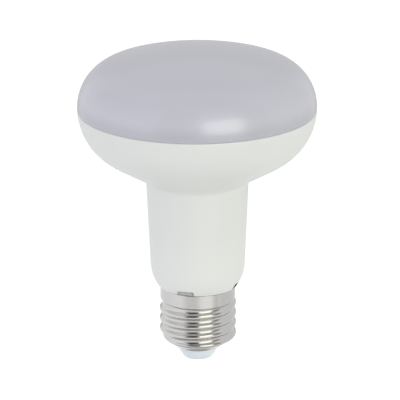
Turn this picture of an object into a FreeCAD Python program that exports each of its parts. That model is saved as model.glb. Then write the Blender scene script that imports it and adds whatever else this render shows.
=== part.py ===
"""Reflector lamp with a screw cap, a tall neck, a flared head and a shallow opal cover.

Units are millimetres. +Z runs up the lamp's axis, from the centre contact to the cover.
The origin is the centre of the contact's flat face, where a lampholder's spring touches.
"""
import FreeCAD, Part
import math
import os
import Sketcher

doc = FreeCAD.newDocument("ReflectorLamp")
dim = doc.addObject("Spreadsheet::Sheet", "dim")

# Driving dimensions, one row each: alias, size, what it is
DIMENSIONS = [
    # Centre contact and the insulator that holds it
    ("contact_radius", 3.1, "centre contact, outer radius"),
    ("contact_bevel", 0.4, "bevel round the contact's face"),
    ("contact_thickness", 0.5, "centre contact, thickness of its disc"),
    ("rivet_radius", 1.2, "contact rivet"),
    ("rivet_height", 5.2, "contact rivet, from the face to its top"),
    ("insulator_tip_radius", 4.9, "insulator, flat round the contact"),
    ("insulator_curve", 9.0, "insulator, radius of its curved side"),
    ("insulator_top", 3.9, "insulator, height inside the shell above the lip"),
    ("insulator_well", 4.6, "well for the lead, radius"),
    ("insulator_floor", 3.4, "insulator, thickness under the well"),
    # Screw shell
    ("cap_height", 27.0, "contact face to the housing's foot"),
    ("lip_height", 4.8, "contact face to the shell's lip"),
    ("lip_radius", 7.1, "hole in the shell's lip"),
    ("lip_flat", 1.1, "flat ring round that hole"),
    ("shell_wall", 0.3, "thickness of the shell's sheet"),
    ("root_radius", 12.15, "thread, radius at its root"),
    ("thread_depth", 0.95, "thread, from its root out to its crest"),
    ("pitch", 3.629, "thread pitch"),
    ("thread_clear", 0.2, "thread's end to the step under the skirt"),
    ("thread_end", 2.5, "wall that closes each end of the ridge, degrees round the axis"),
    ("crest_width", 0.7, "flat of the crest"),
    ("shoulder_width", 1.7, "width of the crest's bevels"),
    ("ridge_width", 3.1, "width of one turn at its root"),
    ("bevel_height", 0.72, "height of the bevels over the root, as a part of the thread's depth"),
    ("thread_start", 9.05, "height of the thread's centre where it starts, at +X"),
    ("cone_rise", 3.3, "height of the cone between lip and thread"),
    ("skirt_stand", 0.7, "smooth skirt, out from the thread's root"),
    ("skirt_height", 4.9, "smooth skirt, from the housing's foot down"),
    ("skirt_gap", 0.35, "gap between the skirt's upper edge and the housing's foot"),
    ("skirt_step", 0.8, "height of the step between thread and skirt"),
    # Carrier inside the shell
    ("carrier_gap", 0.1, "gap round the carrier"),
    ("carrier_wall", 1.2, "wall of the carrier"),
    ("carrier_foot", 10.4, "height of the carrier's lower end"),
    ("collar_height", 9.0, "collar inside the housing, above its foot"),
    ("lug_depth", 0.5, "how far a lug's foot stands out of the collar"),
    ("lug_lead", 0.2, "how far a lug's upper edge stands back from its foot"),
    # Housing
    ("housing_wall", 1.5, "wall of the housing"),
    ("foot_overhang", 0.7, "housing's foot, out from the skirt"),
    ("bore_inset", 0.75, "bore in the foot for the collar, in from the skirt"),
    ("neck_radius", 16.1, "neck where it starts above the foot's curve"),
    ("foot_curve_height", 8.2, "height of the foot's curve"),
    ("neck_lean", 2.4, "neck's lean outwards, degrees"),
    ("cone_angle", 59.35, "head's cone from the vertical, degrees"),
    ("neck_fillet", 2.6, "rounding between neck and cone"),
    ("flare_radius", 20.2, "head's curve above the cone"),
    ("flare_drop", 0.4, "middle of that curve, below the widest circle"),
    ("rim_radius", 40.0, "widest radius of the lamp"),
    ("head_height", 63.0, "housing's foot to the widest circle"),
    ("seam_drop", 1.1, "widest circle down to the seam"),
    ("window_width", 25.0, "window in the foot, degrees round the axis"),
    ("window_height", 1.7, "window in the foot, height"),
    ("window_turn", 70.0, "window's direction from +X, degrees"),
    ("window_gap", 0.15, "gap between the window's ends and the lug"),
    ("lug_gap", 0.75, "gap between the window's top and the lug"),
    # Cover
    ("cover_wall", 1.3, "wall of the cover"),
    ("cover_edge_curve", 15.65, "curve at the cover's edge"),
    ("dome_slope", 16.7, "slope where the edge meets the dome, degrees"),
    ("spigot_depth", 3.0, "spigot below the seam"),
    ("spigot_gap", 0.12, "gap round the spigot"),
    ("seal_height", 0.6, "bead of silicone under the spigot"),
    # Heat spreader, pad and lamp board
    ("spreader_gap", 0.1, "gap between spreader and housing"),
    ("spreader_sheet", 1.2, "thickness of the spreader's sheet"),
    ("pad_thickness", 0.2, "thermal pad"),
    ("lamp_board_inset", 7.0, "board that carries the light sources, in from the rim"),
    ("lamp_board_thickness", 1.2, "thickness of that board"),
    ("lead_hole", 4.5, "hole in its middle for the leads"),
    ("outer_ring_inset", 5.0, "outer ring of light sources, in from that board's edge"),
    ("inner_ring", 15.0, "inner ring of light sources, radius"),
    ("source_length", 3.5, "light source, length"),
    ("source_width", 2.8, "light source, width"),
    ("source_height", 0.7, "light source, height"),
    ("screw_ring", 20.5, "circle of the three screws, radius"),
    ("screw_radius", 1.4, "screw, radius of its thread"),
    ("screw_head_radius", 2.6, "screw, radius of its head"),
    ("screw_head_height", 1.8, "screw, height of its head"),
    ("screw_length", 9.0, "screw, under its head"),
    ("screw_gap", 0.2, "gap round the screw in board, pad and spreader"),
    ("pilot_gap", 0.05, "gap round the screw in its boss"),
    ("boss_radius", 3.0, "boss that takes a screw"),
    # Driver board and its rails
    ("board_thickness", 1.6, "driver board"),
    ("board_edge_gap", 1.2, "driver board's edge to the neck's wall"),
    ("tongue_edge_gap", 0.6, "driver board's edge to the carrier's wall"),
    ("tongue_gap", 3.3, "driver board's tongue above the fusible resistor"),
    ("board_length", 24.0, "driver board, length in the neck"),
    ("rail_start", 2.0, "rails, above the top of the foot's curve"),
    ("rail_length", 15.0, "rails, length"),
    ("rail_depth", 2.8, "rail, depth from the neck's wall"),
    ("rail_angle", 6.5, "rail, width round the axis, degrees"),
    ("rail_slot", 4.4, "half the slot between two rails, degrees"),
    ("part_gap", 0.1, "gap under a part on the driver board"),
    ("core_leg", 1.3, "transformer core, half its middle leg and the width of its outer legs"),
    ("core_window", 3.0, "transformer core, width of a window"),
    ("core_window_height", 7.0, "transformer core, height of a window"),
    ("core_depth", 5.0, "transformer core, out from the board"),
    ("core_place", 5.9, "transformer, centre across the board"),
    ("core_rise", 9.5, "transformer, centre above the board's shoulder"),
    ("bobbin_wall", 0.4, "bobbin, wall and flanges"),
    ("bobbin_gap", 0.1, "gaps round the bobbin"),
    ("winding_build", 1.7, "thickness of the winding"),
    ("varistor_radius", 3.6, "varistor, radius"),
    ("varistor_thickness", 3.0, "varistor, thickness"),
    ("varistor_gap", 0.2, "varistor above the tongue's end"),
    ("chip_length", 3.2, "small resistor, length"),
    ("chip_width", 1.6, "small resistor, width"),
    ("chip_height", 0.6, "small resistor, height"),
    ("chip_rise", 21.9, "small resistors, foot above the board's shoulder"),
    ("chip_spacing", 4.2, "small resistors, apart"),
    ("fuse_radius", 1.5, "fusible resistor, radius"),
    ("fuse_length", 5.6, "fusible resistor, length"),
    ("fuse_rise", 1.9, "fusible resistor, above the contact's rivet"),
    ("wire_radius", 0.35, "bare lead of the fusible resistor"),
    ("lead_radius", 0.4, "insulated lead"),
    ("lead_bend", 0.9, "bend of a lead, at its middle"),
    ("lead_lift", 0.5, "lead's middle above the board's face"),
    ("lead_spread", 2.4, "leads to the light sources, from the axis"),
    ("lead_overlap", 3.0, "length of a lead that lies on a board"),
    ("neutral_inset", 2.05, "neutral lead's run up the board, in from the carrier's bore"),
    ("lead_step", 0.9, "height in which the live lead steps over to the board's face"),
    ("part_bevel", 0.25, "bevel along the edges of a box on the driver board"),
]

# Parts on the driver board: size across, out from the board and up, then place across it and above its
# shoulder.
# A side of 1 is the face towards +Y. A can has a radius and a length instead.
BOXES = [
    ("film_capacitor", 1, 9.0, 4.6, 7.0, 0.0, -9.0),
    ("bridge_rectifier", -1, 6.2, 2.4, 4.8, -3.6, -7.6),
    ("controller_chip", -1, 4.9, 1.5, 3.9, 0.0, 15.5),
]
CANS = [
    ("input_capacitor", 1, 5.0, 17.0, -5.7, 2.5),
    ("output_capacitor", -1, 4.0, 11.5, -5.6, 3.0),
    ("choke", -1, 4.2, 8.0, 5.4, 3.0),
]
for name, side, across, deep, up, place, rise in BOXES:
    DIMENSIONS += [
        (name + "_across", across, name + ", width"),
        (name + "_deep", deep, name + ", out from the board"),
        (name + "_up", up, name + ", height"),
        (name + "_place", place, name + ", centre across the board"),
        (name + "_rise", rise, name + ", foot above the board's shoulder"),
    ]
for name, side, radius, length, place, rise in CANS:
    DIMENSIONS += [
        (name + "_radius", radius, name + ", radius"),
        (name + "_length", length, name + ", length"),
        (name + "_place", place, name + ", centre across the board"),
        (name + "_rise", rise, name + ", foot above the board's shoulder"),
    ]
for row, (alias, size, meaning) in enumerate(DIMENSIONS, start=1):
    dim.set("A%d" % row, str(size))
    dim.set("B%d" % row, meaning)
    dim.setAlias("A%d" % row, alias)
doc.recompute()

nodes = []


def size_of(formula):
    """The number that a formula over the sheet comes to."""
    return float(dim.evalExpression(formula))


def new_body(name):
    """An empty body whose label names its node."""
    body = doc.addObject("PartDesign::Body", name)
    body.Label = name
    nodes.append(body)
    return body


def origin_plane(body, role):
    """One of the body's own origin planes."""
    return [part for part in body.Origin.OriginFeatures if part.Role == role][0]


def new_sketch(body, name, role="XZ_Plane", height=None, turn=None):
    """A sketch on an origin plane, raised by one formula or turned about the plane's upright by another."""
    sketch = body.newObject("Sketcher::SketchObject", name)
    sketch.AttachmentSupport = [(origin_plane(body, role), "")]
    sketch.MapMode = "FlatFace"
    if turn is not None:
        turned = FreeCAD.Rotation(FreeCAD.Vector(0, 1, 0), size_of(turn))
        sketch.AttachmentOffset = FreeCAD.Placement(FreeCAD.Vector(0, 0, 0), turned)
        sketch.setExpression("AttachmentOffset.Rotation.Angle", turn)
    if height is not None:
        sketch.setExpression("AttachmentOffset.Base.z", height)
    return sketch


def arc_between(start, end, radius, side):
    """The shorter arc from start to end, turning left for side 1 and right for side -1."""
    chord = end - start
    reach = math.sqrt(radius ** 2 - (chord.Length / 2) ** 2)
    left = FreeCAD.Vector(-chord.y, chord.x, 0).normalize()
    centre = (start + end) * 0.5 + left * reach * side
    first, last = (start, end) if side > 0 else (end, start)
    angles = [math.atan2(point.y - centre.y, point.x - centre.x) for point in (first, last)]
    return Part.ArcOfCircle(Part.Circle(centre, FreeCAD.Vector(0, 0, 1), radius), *angles)


def hold(sketch, edge, end, axis, formula, name):
    """Ties one coordinate of an edge's end to a formula."""
    if formula == "0":
        rail = -2 if axis == "X" else -1
        sketch.addConstraint(Sketcher.Constraint("PointOnObject", edge, end, rail))
        return
    kind = "Distance" + axis
    number = sketch.addConstraint(Sketcher.Constraint(kind, -1, 1, edge, end, size_of(formula)))
    sketch.renameConstraint(number, name)
    sketch.setExpression("Constraints." + name, formula)


def outline(sketch, corners):
    """A closed outline. Each corner is (across, up); an arc to the next adds its radius and its side."""
    points = [FreeCAD.Vector(size_of(corner[0]), size_of(corner[1]), 0) for corner in corners]
    ends = []
    for number, corner in enumerate(corners):
        start, end = points[number], points[(number + 1) % len(points)]
        if len(corner) == 4:
            sketch.addGeometry(arc_between(start, end, size_of(corner[2]), corner[3]), False)
            ends.append((1, 2) if corner[3] > 0 else (2, 1))
        else:
            sketch.addGeometry(Part.LineSegment(start, end), False)
            ends.append((1, 2))
    for number, corner in enumerate(corners):
        before = number - 1 if number else len(corners) - 1
        joint = Sketcher.Constraint("Coincident", before, ends[before][1], number, ends[number][0])
        sketch.addConstraint(joint)
        hold(sketch, number, ends[number][0], "X", corner[0], "across%d" % number)
        hold(sketch, number, ends[number][0], "Y", corner[1], "up%d" % number)
        if len(corner) == 4:
            mark = sketch.addConstraint(Sketcher.Constraint("Radius", number, size_of(corner[2])))
            sketch.renameConstraint(mark, "radius%d" % number)
            sketch.setExpression("Constraints.radius%d" % number, corner[2])
    return sketch


def circle(sketch, across, up, radius):
    """A circle in a sketch, with its centre and radius tied to formulas."""
    centre = FreeCAD.Vector(size_of(across), size_of(up), 0)
    number = sketch.GeometryCount
    sketch.addGeometry(Part.Circle(centre, FreeCAD.Vector(0, 0, 1), size_of(radius)), False)
    hold(sketch, number, 3, "X", across, "across%d" % number)
    hold(sketch, number, 3, "Y", up, "up%d" % number)
    mark = sketch.addConstraint(Sketcher.Constraint("Radius", number, size_of(radius)))
    sketch.renameConstraint(mark, "radius%d" % number)
    sketch.setExpression("Constraints.radius%d" % number, radius)
    return sketch


def turned(body, name, corners, kind="Revolution"):
    """A full turn of an outline about the lamp's axis, added to the body or cut out of it."""
    sketch = outline(new_sketch(body, name + "_outline"), corners)
    feature = body.newObject("PartDesign::" + kind, name)
    feature.Profile = (sketch, [""])
    feature.ReferenceAxis = (sketch, ["V_Axis"])
    feature.Angle = 360.0
    sketch.Visibility = False
    return feature


def sector(body, name, corners, turn, width, kind="Revolution"):
    """A part turn of an outline, centred on one direction from the axis."""
    sketch = outline(new_sketch(body, name + "_outline", turn=turn), corners)
    feature = body.newObject("PartDesign::" + kind, name)
    feature.Profile = (sketch, [""])
    feature.ReferenceAxis = (sketch, ["V_Axis"])
    feature.Midplane = True
    feature.Angle = size_of(width)
    feature.setExpression("Angle", width)
    return feature


def round_pattern(body, name, features, count):
    """Copies of features round the lamp's axis."""
    pattern = body.newObject("PartDesign::PolarPattern", name)
    pattern.Originals = features
    pattern.Axis = ([part for part in body.Origin.OriginFeatures if part.Role == "Z_Axis"][0], [""])
    pattern.Angle = 360.0
    pattern.Occurrences = count
    body.Tip = pattern
    return pattern


def placed(thing, across="0", deep="0", up="0"):
    """Ties a primitive's place to formulas."""
    for axis, formula in (("x", across), ("y", deep), ("z", up)):
        if formula != "0":
            thing.setExpression("Placement.Base." + axis, formula)
    return thing


def box(name, width, depth, height, across, deep, up):
    """A box centred on (across, deep) that stands on up."""
    block = doc.addObject("Part::Box", name)
    block.setExpression("Length", width)
    block.setExpression("Width", depth)
    block.setExpression("Height", height)
    return placed(block, "(%s) - (%s) / 2" % (across, width), "(%s) - (%s) / 2" % (deep, depth), up)


def rod(name, radius, height, across="0", deep="0", up="0"):
    """A cylinder along Z."""
    cylinder = doc.addObject("Part::Cylinder", name)
    cylinder.setExpression("Radius", radius)
    cylinder.setExpression("Height", height)
    return placed(cylinder, across, deep, up)


def cut(name, base, tool):
    """One shape less another."""
    result = doc.addObject("Part::Cut", name)
    result.Base = base
    result.Tool = tool
    return result


def fused(name, shapes):
    """Shapes joined into one."""
    result = doc.addObject("Part::MultiFuse", name)
    result.Shapes = shapes
    return result


def group(name, shapes):
    """Separate solids that share one node."""
    result = doc.addObject("Part::Compound", name)
    result.Links = shapes
    return result


def as_node(thing, name):
    """Names a finished object as a node of the lamp."""
    thing.Label = name
    nodes.append(thing)
    return thing


# Centre contact: a plated disc with a flat face and a rivet through the insulator
contact = new_body("centre_contact")
turned(contact, "contact_turned", [
    ("0", "0"),
    ("dim.contact_radius - dim.contact_bevel", "0"),
    ("dim.contact_radius", "dim.contact_bevel"),
    ("dim.contact_radius", "dim.contact_thickness"),
    ("dim.rivet_radius", "dim.contact_thickness"),
    ("dim.rivet_radius", "dim.rivet_height"),
    ("0", "dim.rivet_height"),
])

# Screw shell: one drawn sheet with a lip, a cone, a rolled thread and a smooth skirt
lip_corner = "(dim.lip_radius + dim.lip_flat)"
cone_slope = "atan(dim.cone_rise / (dim.root_radius - %s))" % lip_corner
cone_top = "(dim.lip_height + dim.cone_rise)"
skirt_foot = "(dim.cap_height - dim.skirt_height)"
skirt_top = "(dim.cap_height - dim.skirt_gap)"
skirt_radius = "(dim.root_radius + dim.skirt_stand)"
inner_root = "(dim.root_radius - dim.shell_wall)"
inner_skirt = "(%s - dim.shell_wall)" % skirt_radius
step_foot = "(%s - dim.skirt_step + dim.shell_wall / 2)" % skirt_foot
step_top = "(%s + dim.shell_wall / 2)" % skirt_foot
shell = new_body("screw_shell")
turned(shell, "shell_drawn", [
    ("dim.lip_radius", "dim.lip_height"),
    (lip_corner, "dim.lip_height"),
    ("dim.root_radius", cone_top),
    ("dim.root_radius", skirt_foot + " - dim.skirt_step"),
    (skirt_radius, skirt_foot),
    (skirt_radius, skirt_top),
    (inner_skirt, skirt_top),
    (inner_skirt, step_top),
    (inner_root, step_foot),
    (inner_root, "%s + dim.shell_wall * tan(45 deg - %s / 2)" % (cone_top, cone_slope)),
    ("%s - dim.shell_wall * tan(%s / 2)" % (lip_corner, cone_slope), "dim.lip_height + dim.shell_wall"),
    ("dim.lip_radius", "dim.lip_height + dim.shell_wall"),
])


def thread_section(root, middle, lift, widths):
    """Outline of one turn above a root radius: its widths at the root, the bevels and the crest."""
    foot = "%s - dim.shell_wall / 2" % root
    low_side, high_side = [], []
    for height, width in zip(lift, widths):
        radius = "%s + dim.thread_depth * %s" % (root, height)
        low_side.append((radius, "%s - %s / 2" % (middle, width)))
        high_side.append((radius, "%s + %s / 2" % (middle, width)))
    lowest = (foot, "%s - %s / 2" % (middle, widths[0]))
    highest = (foot, "%s + %s / 2" % (middle, widths[0]))
    return [lowest] + low_side + high_side[::-1] + [highest]


def rolled_thread(body, name, corners, kind, turns, turn=None):
    """A section carried up a right-hand helix about the lamp's axis."""
    sketch = outline(new_sketch(body, name + "_outline", turn=turn), corners)
    helix = body.newObject("PartDesign::" + kind, name)
    helix.Profile = (sketch, [""])
    helix.ReferenceAxis = (sketch, ["V_Axis"])
    helix.Mode = "pitch-turns-angle"
    helix.LeftHanded = False
    helix.setExpression("Pitch", "dim.pitch")
    helix.setExpression("Turns", turns)
    return helix


outside = thread_section("dim.root_radius", "dim.thread_start", ["0", "dim.bevel_height", "1"],
                         ["dim.ridge_width", "dim.shoulder_width", "dim.crest_width"])
thread_turns = "((%s - dim.skirt_step - dim.thread_start - dim.thread_clear) / dim.pitch)" % skirt_foot
rolled_thread(shell, "thread_outside", outside, "AdditiveHelix", thread_turns)
turned(shell, "shell_bore", [
    ("0", cone_top + " + dim.shell_wall"),
    (inner_root, cone_top + " + dim.shell_wall"),
    (inner_root, step_foot),
    (inner_skirt, step_top),
    (inner_skirt, "dim.cap_height"),
    ("0", "dim.cap_height"),
], "Groove")
doc.recompute()
inside_start = "(dim.thread_start + dim.pitch * dim.thread_end / 360)"
inside = thread_section(inner_root, inside_start, ["0", "1"],
                        ["(dim.ridge_width - dim.shell_wall)", "dim.crest_width"])
rolled_thread(shell, "thread_inside", inside, "SubtractiveHelix",
              thread_turns + " - dim.thread_end / 180", "dim.thread_end")

# Insulator: pale disc between the contact and the shell, with a well for the live lead
insulator = new_body("insulator")
cone_gap = "(dim.shell_wall + dim.part_gap)"
flange_radius = "(dim.root_radius - %s)" % cone_gap
flange_start = "(%s - %s * tan(%s / 2))" % (lip_corner, cone_gap, cone_slope)
turned(insulator, "insulator_moulded", [
    ("dim.rivet_radius", "dim.contact_thickness"),
    ("dim.insulator_tip_radius", "dim.contact_thickness", "dim.insulator_curve", 1),
    ("dim.lip_radius - dim.part_gap", "dim.lip_height"),
    ("dim.lip_radius - dim.part_gap", "dim.lip_height + " + cone_gap),
    (flange_start, "dim.lip_height + " + cone_gap),
    (flange_radius + " - dim.part_gap", cone_top),
    (flange_radius + " - dim.part_gap", "dim.lip_height + dim.insulator_top"),
    ("dim.insulator_well", "dim.lip_height + dim.insulator_top"),
    ("dim.insulator_well", "dim.insulator_floor + dim.contact_thickness"),
    ("dim.rivet_radius", "dim.insulator_floor + dim.contact_thickness"),
])

# Housing: one moulding with foot, neck, cone and flared head
foot = "dim.cap_height"
curve_top = "(dim.cap_height + dim.foot_curve_height)"
widest = "(dim.cap_height + dim.head_height)"
seam = "(%s - dim.seam_drop)" % widest
flare_axis = "(dim.rim_radius - dim.flare_radius)"
flare_middle = "(%s - dim.flare_drop)" % widest
foot_radius = "(%s + dim.foot_overhang)" % skirt_radius
foot_bore = "(%s - dim.bore_inset)" % skirt_radius
foot_step = "(dim.neck_radius - %s)" % foot_radius
foot_curve = "((%s^2 + dim.foot_curve_height^2) / (2 * %s))" % (foot_step, foot_step)
foot_axis = "(dim.neck_radius - %s)" % foot_curve


def cone_end(wall):
    """Where the cone runs into the flare, on a surface that lies wall inside the outer one."""
    radius = "(%s + (dim.flare_radius - %s) * cos(dim.cone_angle))" % (flare_axis, wall)
    height = "(%s - (dim.flare_radius - %s) * sin(dim.cone_angle))" % (flare_middle, wall)
    return radius, height


outer_end = cone_end("0")
corner_rise = "((%s - %s * tan(dim.cone_angle) - dim.neck_radius + %s * tan(dim.neck_lean)) / " % (
    outer_end[0], outer_end[1], curve_top)
corner_height = corner_rise + "(tan(dim.neck_lean) - tan(dim.cone_angle)))"
corner_radius = "(dim.neck_radius + (%s - %s) * tan(dim.neck_lean))" % (corner_height, curve_top)
setback = "(dim.neck_fillet * tan((dim.cone_angle - dim.neck_lean) / 2))"
fillet_foot = ("(%s - %s * sin(dim.neck_lean))" % (corner_radius, setback),
               "(%s - %s * cos(dim.neck_lean))" % (corner_height, setback))
fillet_head = ("(%s + %s * sin(dim.cone_angle))" % (corner_radius, setback),
               "(%s + %s * cos(dim.cone_angle))" % (corner_height, setback))
bend = "(1 + cos(dim.cone_angle - dim.neck_lean))"
inner_corner = (
    "(%s - dim.housing_wall * (cos(dim.neck_lean) + cos(dim.cone_angle)) / %s)" % (corner_radius, bend),
    "(%s + dim.housing_wall * (sin(dim.neck_lean) + sin(dim.cone_angle)) / %s)" % (corner_height, bend))
inner_neck = "(dim.neck_radius - dim.housing_wall)"
bore_top = "(%s - sqrt((%s - dim.housing_wall)^2 - (%s - %s)^2))" % (
    curve_top, foot_curve, foot_bore, foot_axis)


def flare_at(height, wall):
    """Radius of the flare at a height, on a surface that lies wall inside the outer one."""
    return "(%s + sqrt((dim.flare_radius - %s)^2 - (%s - %s)^2))" % (flare_axis, wall, flare_middle, height)


housing = new_body("housing")
inner_end = cone_end("dim.housing_wall")
inner_flare = "dim.flare_radius - dim.housing_wall"
turned(housing, "housing_moulded", [
    (foot_bore, foot),
    (foot_radius, foot, foot_curve, 1),
    ("dim.neck_radius", curve_top),
    fillet_foot + ("dim.neck_fillet", -1),
    fillet_head,
    outer_end + ("dim.flare_radius", 1),
    (flare_at(seam, "0"), seam),
    (flare_at(seam, "dim.housing_wall"), seam, inner_flare, -1),
    inner_end,
    inner_corner,
    (inner_neck, curve_top, foot_curve + " - dim.housing_wall", -1),
    (foot_bore, bore_top),
])
doc.recompute()

# Bosses in the housing's head take the screws; each runs down to the cone's inside
spreader_top = "(%s - dim.spigot_depth - dim.seal_height)" % seam
spreader_under = "(%s - dim.spreader_sheet)" % spreader_top
boss_sketch = circle(new_sketch(housing, "boss_outline", "XY_Plane", height=spreader_under),
                     "dim.screw_ring", "0", "dim.boss_radius")
boss = housing.newObject("PartDesign::Pad", "boss")
boss.Profile = (boss_sketch, [""])
boss.Reversed = True
boss.Type = "UpToFirst"
doc.recompute()
pilot_sketch = circle(new_sketch(housing, "pilot_outline", "XY_Plane", height=spreader_under),
                      "dim.screw_ring", "0", "dim.screw_radius + dim.pilot_gap")
pilot = housing.newObject("PartDesign::Pocket", "pilot")
pilot.Profile = (pilot_sketch, [""])
pilot.setExpression("Length", "dim.screw_length")
doc.recompute()
round_pattern(housing, "bosses", [boss, pilot], 3)
doc.recompute()

# Rails that hold the driver board's edges, in two pairs
rail_foot = "(%s + dim.rail_start)" % curve_top
rail_top = "(%s + dim.rail_length)" % rail_foot


def neck_inside(height, sink):
    """Inner radius of the neck at a height, moved outwards by sink."""
    return "(%s + (%s - %s) * tan(dim.neck_lean) + %s)" % (inner_neck, height, curve_top, sink)


rail_corners = [
    (neck_inside(rail_foot, "-dim.rail_depth"), rail_foot),
    (neck_inside(rail_foot, "dim.housing_wall / 2"), rail_foot),
    (neck_inside(rail_top, "dim.housing_wall / 2"), rail_top),
    (neck_inside(rail_top, "-dim.rail_depth"), rail_top),
]
rail_turn = "(dim.rail_slot + dim.rail_angle / 2)"
rails = [sector(housing, "rail_left", rail_corners, rail_turn, "dim.rail_angle"),
         sector(housing, "rail_right", rail_corners, "-" + rail_turn, "dim.rail_angle")]
doc.recompute()
round_pattern(housing, "rail_pairs", rails, 2)
doc.recompute()

# Windows through the foot, where the carrier's lugs catch
window_corners = [
    (foot_bore + " - dim.housing_wall", foot + " - dim.window_gap"),
    (foot_radius + " + dim.housing_wall", foot + " - dim.window_gap"),
    (foot_radius + " + dim.housing_wall", foot + " + dim.window_height"),
    (foot_bore + " - dim.housing_wall", foot + " + dim.window_height"),
]
window = sector(housing, "window", window_corners, "dim.window_turn", "dim.window_width", "Groove")
doc.recompute()
round_pattern(housing, "windows", [window], 4)
doc.recompute()

# Carrier: plastic sleeve that holds the shell, with a collar and two lugs in two of the housing's windows
carrier = new_body("cap_carrier")
sleeve = "(%s - dim.carrier_gap)" % inner_root
carrier_bore = "(%s - dim.carrier_wall)" % sleeve
flange = "(%s - dim.carrier_gap)" % inner_skirt
collar = "(%s - dim.carrier_gap)" % foot_bore
shoulder = "(dim.cap_height + dim.collar_height)"
turned(carrier, "carrier_moulded", [
    (carrier_bore, "dim.carrier_foot"),
    (sleeve, "dim.carrier_foot"),
    (sleeve, step_foot + " + dim.carrier_gap"),
    (flange, step_top + " + dim.carrier_gap"),
    (flange, foot),
    (collar, foot),
    (collar, shoulder),
    (carrier_bore, shoulder),
])
lug_width = "(dim.window_width - 4 * dim.window_gap * 180 / (pi * %s))" % foot_bore
lug = sector(carrier, "lug", [
    (collar + " - dim.carrier_wall / 2", foot),
    (collar + " + dim.lug_depth", foot),
    (collar + " + dim.lug_depth - dim.lug_lead", foot + " + dim.window_height - dim.lug_gap"),
    (collar + " - dim.carrier_wall / 2", foot + " + dim.window_height - dim.lug_gap"),
], "dim.window_turn", lug_width)
doc.recompute()
round_pattern(carrier, "lugs", [lug], 2)

# Cover: opal dome with a curved edge and a spigot that drops into the housing
edge_axis = "(dim.rim_radius - dim.cover_edge_curve)"
dome_radius = "((%s + dim.cover_edge_curve * sin(dim.dome_slope)) / sin(dim.dome_slope))" % edge_axis
dome_centre = "(%s + dim.cover_edge_curve * cos(dim.dome_slope) - %s * cos(dim.dome_slope))" % (
    widest, dome_radius)
spigot_foot = "(%s - dim.spigot_depth)" % seam
spigot_outside = "(%s - dim.spigot_gap)" % flare_at(spigot_foot, "dim.housing_wall")
spigot_inside = "(%s - dim.cover_wall)" % spigot_outside


def edge_end(wall):
    """Where the cover's curved edge meets its dome, on a surface that lies wall inside the outer one."""
    radius = "(%s + (dim.cover_edge_curve - %s) * sin(dim.dome_slope))" % (edge_axis, wall)
    height = "(%s + (dim.cover_edge_curve - %s) * cos(dim.dome_slope))" % (widest, wall)
    return radius, height


def edge_at(height, wall):
    """Radius of the cover's curved edge at a height."""
    return "(%s + sqrt((dim.cover_edge_curve - %s)^2 - (%s - %s)^2))" % (edge_axis, wall, widest, height)


cover = new_body("diffuser")
ring_top = "(%s + dim.cover_wall)" % seam
turned(cover, "cover_moulded", [
    ("0", "%s + %s" % (dome_centre, dome_radius), dome_radius, -1),
    edge_end("0") + ("dim.cover_edge_curve", -1),
    (edge_at(seam, "0"), seam),
    (spigot_outside, seam),
    (spigot_outside, spigot_foot),
    (spigot_inside, spigot_foot),
    (spigot_inside, ring_top),
    (edge_at(ring_top, "dim.cover_wall"), ring_top, "dim.cover_edge_curve - dim.cover_wall", 1),
    edge_end("dim.cover_wall") + (dome_radius + " - dim.cover_wall", 1),
    ("0", "%s + %s - dim.cover_wall" % (dome_centre, dome_radius)),
])

# Silicone bead between the spigot and the heat spreader
seal = new_body("diffuser_seal")
spreader_inset = "(dim.housing_wall + dim.spreader_gap)"
turned(seal, "seal_bead", [
    (spigot_inside + " + dim.part_gap", spreader_top),
    (flare_at(spreader_top, spreader_inset), spreader_top),
    (flare_at(spreader_top, spreader_inset), spigot_foot),
    (spigot_inside + " + dim.part_gap", spigot_foot),
])

# Heat spreader: aluminium cup, its plate up and its wall down the flare's inside
spreader = new_body("heat_spreader")
spreader_inner = "(%s + dim.spreader_sheet)" % spreader_inset
turned(spreader, "spreader_drawn", [
    ("dim.lead_hole", spreader_top),
    (flare_at(spreader_top, spreader_inset), spreader_top, "dim.flare_radius - " + spreader_inset, -1),
    cone_end(spreader_inset),
    cone_end(spreader_inner) + ("dim.flare_radius - " + spreader_inner, 1),
    (flare_at(spreader_under, spreader_inner), spreader_under),
    ("dim.lead_hole", spreader_under),
])
hole = "dim.screw_radius + dim.screw_gap"
board_under = "(%s + dim.pad_thickness)" % spreader_top
board_top = "(%s + dim.lamp_board_thickness)" % board_under


def screw_holes(body, top, depth):
    """Three holes for the screws, from a height down through a sheet."""
    sketch = circle(new_sketch(body, "hole_outline", "XY_Plane", height=top), "dim.screw_ring", "0", hole)
    feature = body.newObject("PartDesign::Pocket", "hole")
    feature.Profile = (sketch, [""])
    feature.setExpression("Length", depth)
    doc.recompute()
    round_pattern(body, "holes", [feature], 3)


def round_sheet(name, radius, low, high):
    """A flat disc with a hole for the leads and three for the screws."""
    body = new_body(name)
    turned(body, name + "_blank", [
        ("dim.lead_hole", low), (radius, low), (radius, high), ("dim.lead_hole", high)])
    screw_holes(body, high, "%s - %s" % (high, low))
    return body


screw_holes(spreader, spreader_top, "dim.spreader_sheet")
lamp_board_radius = "(dim.rim_radius - dim.lamp_board_inset)"
round_sheet("thermal_pad", lamp_board_radius, spreader_top, board_under)
round_sheet("led_board", lamp_board_radius, board_under, board_top)

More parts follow.
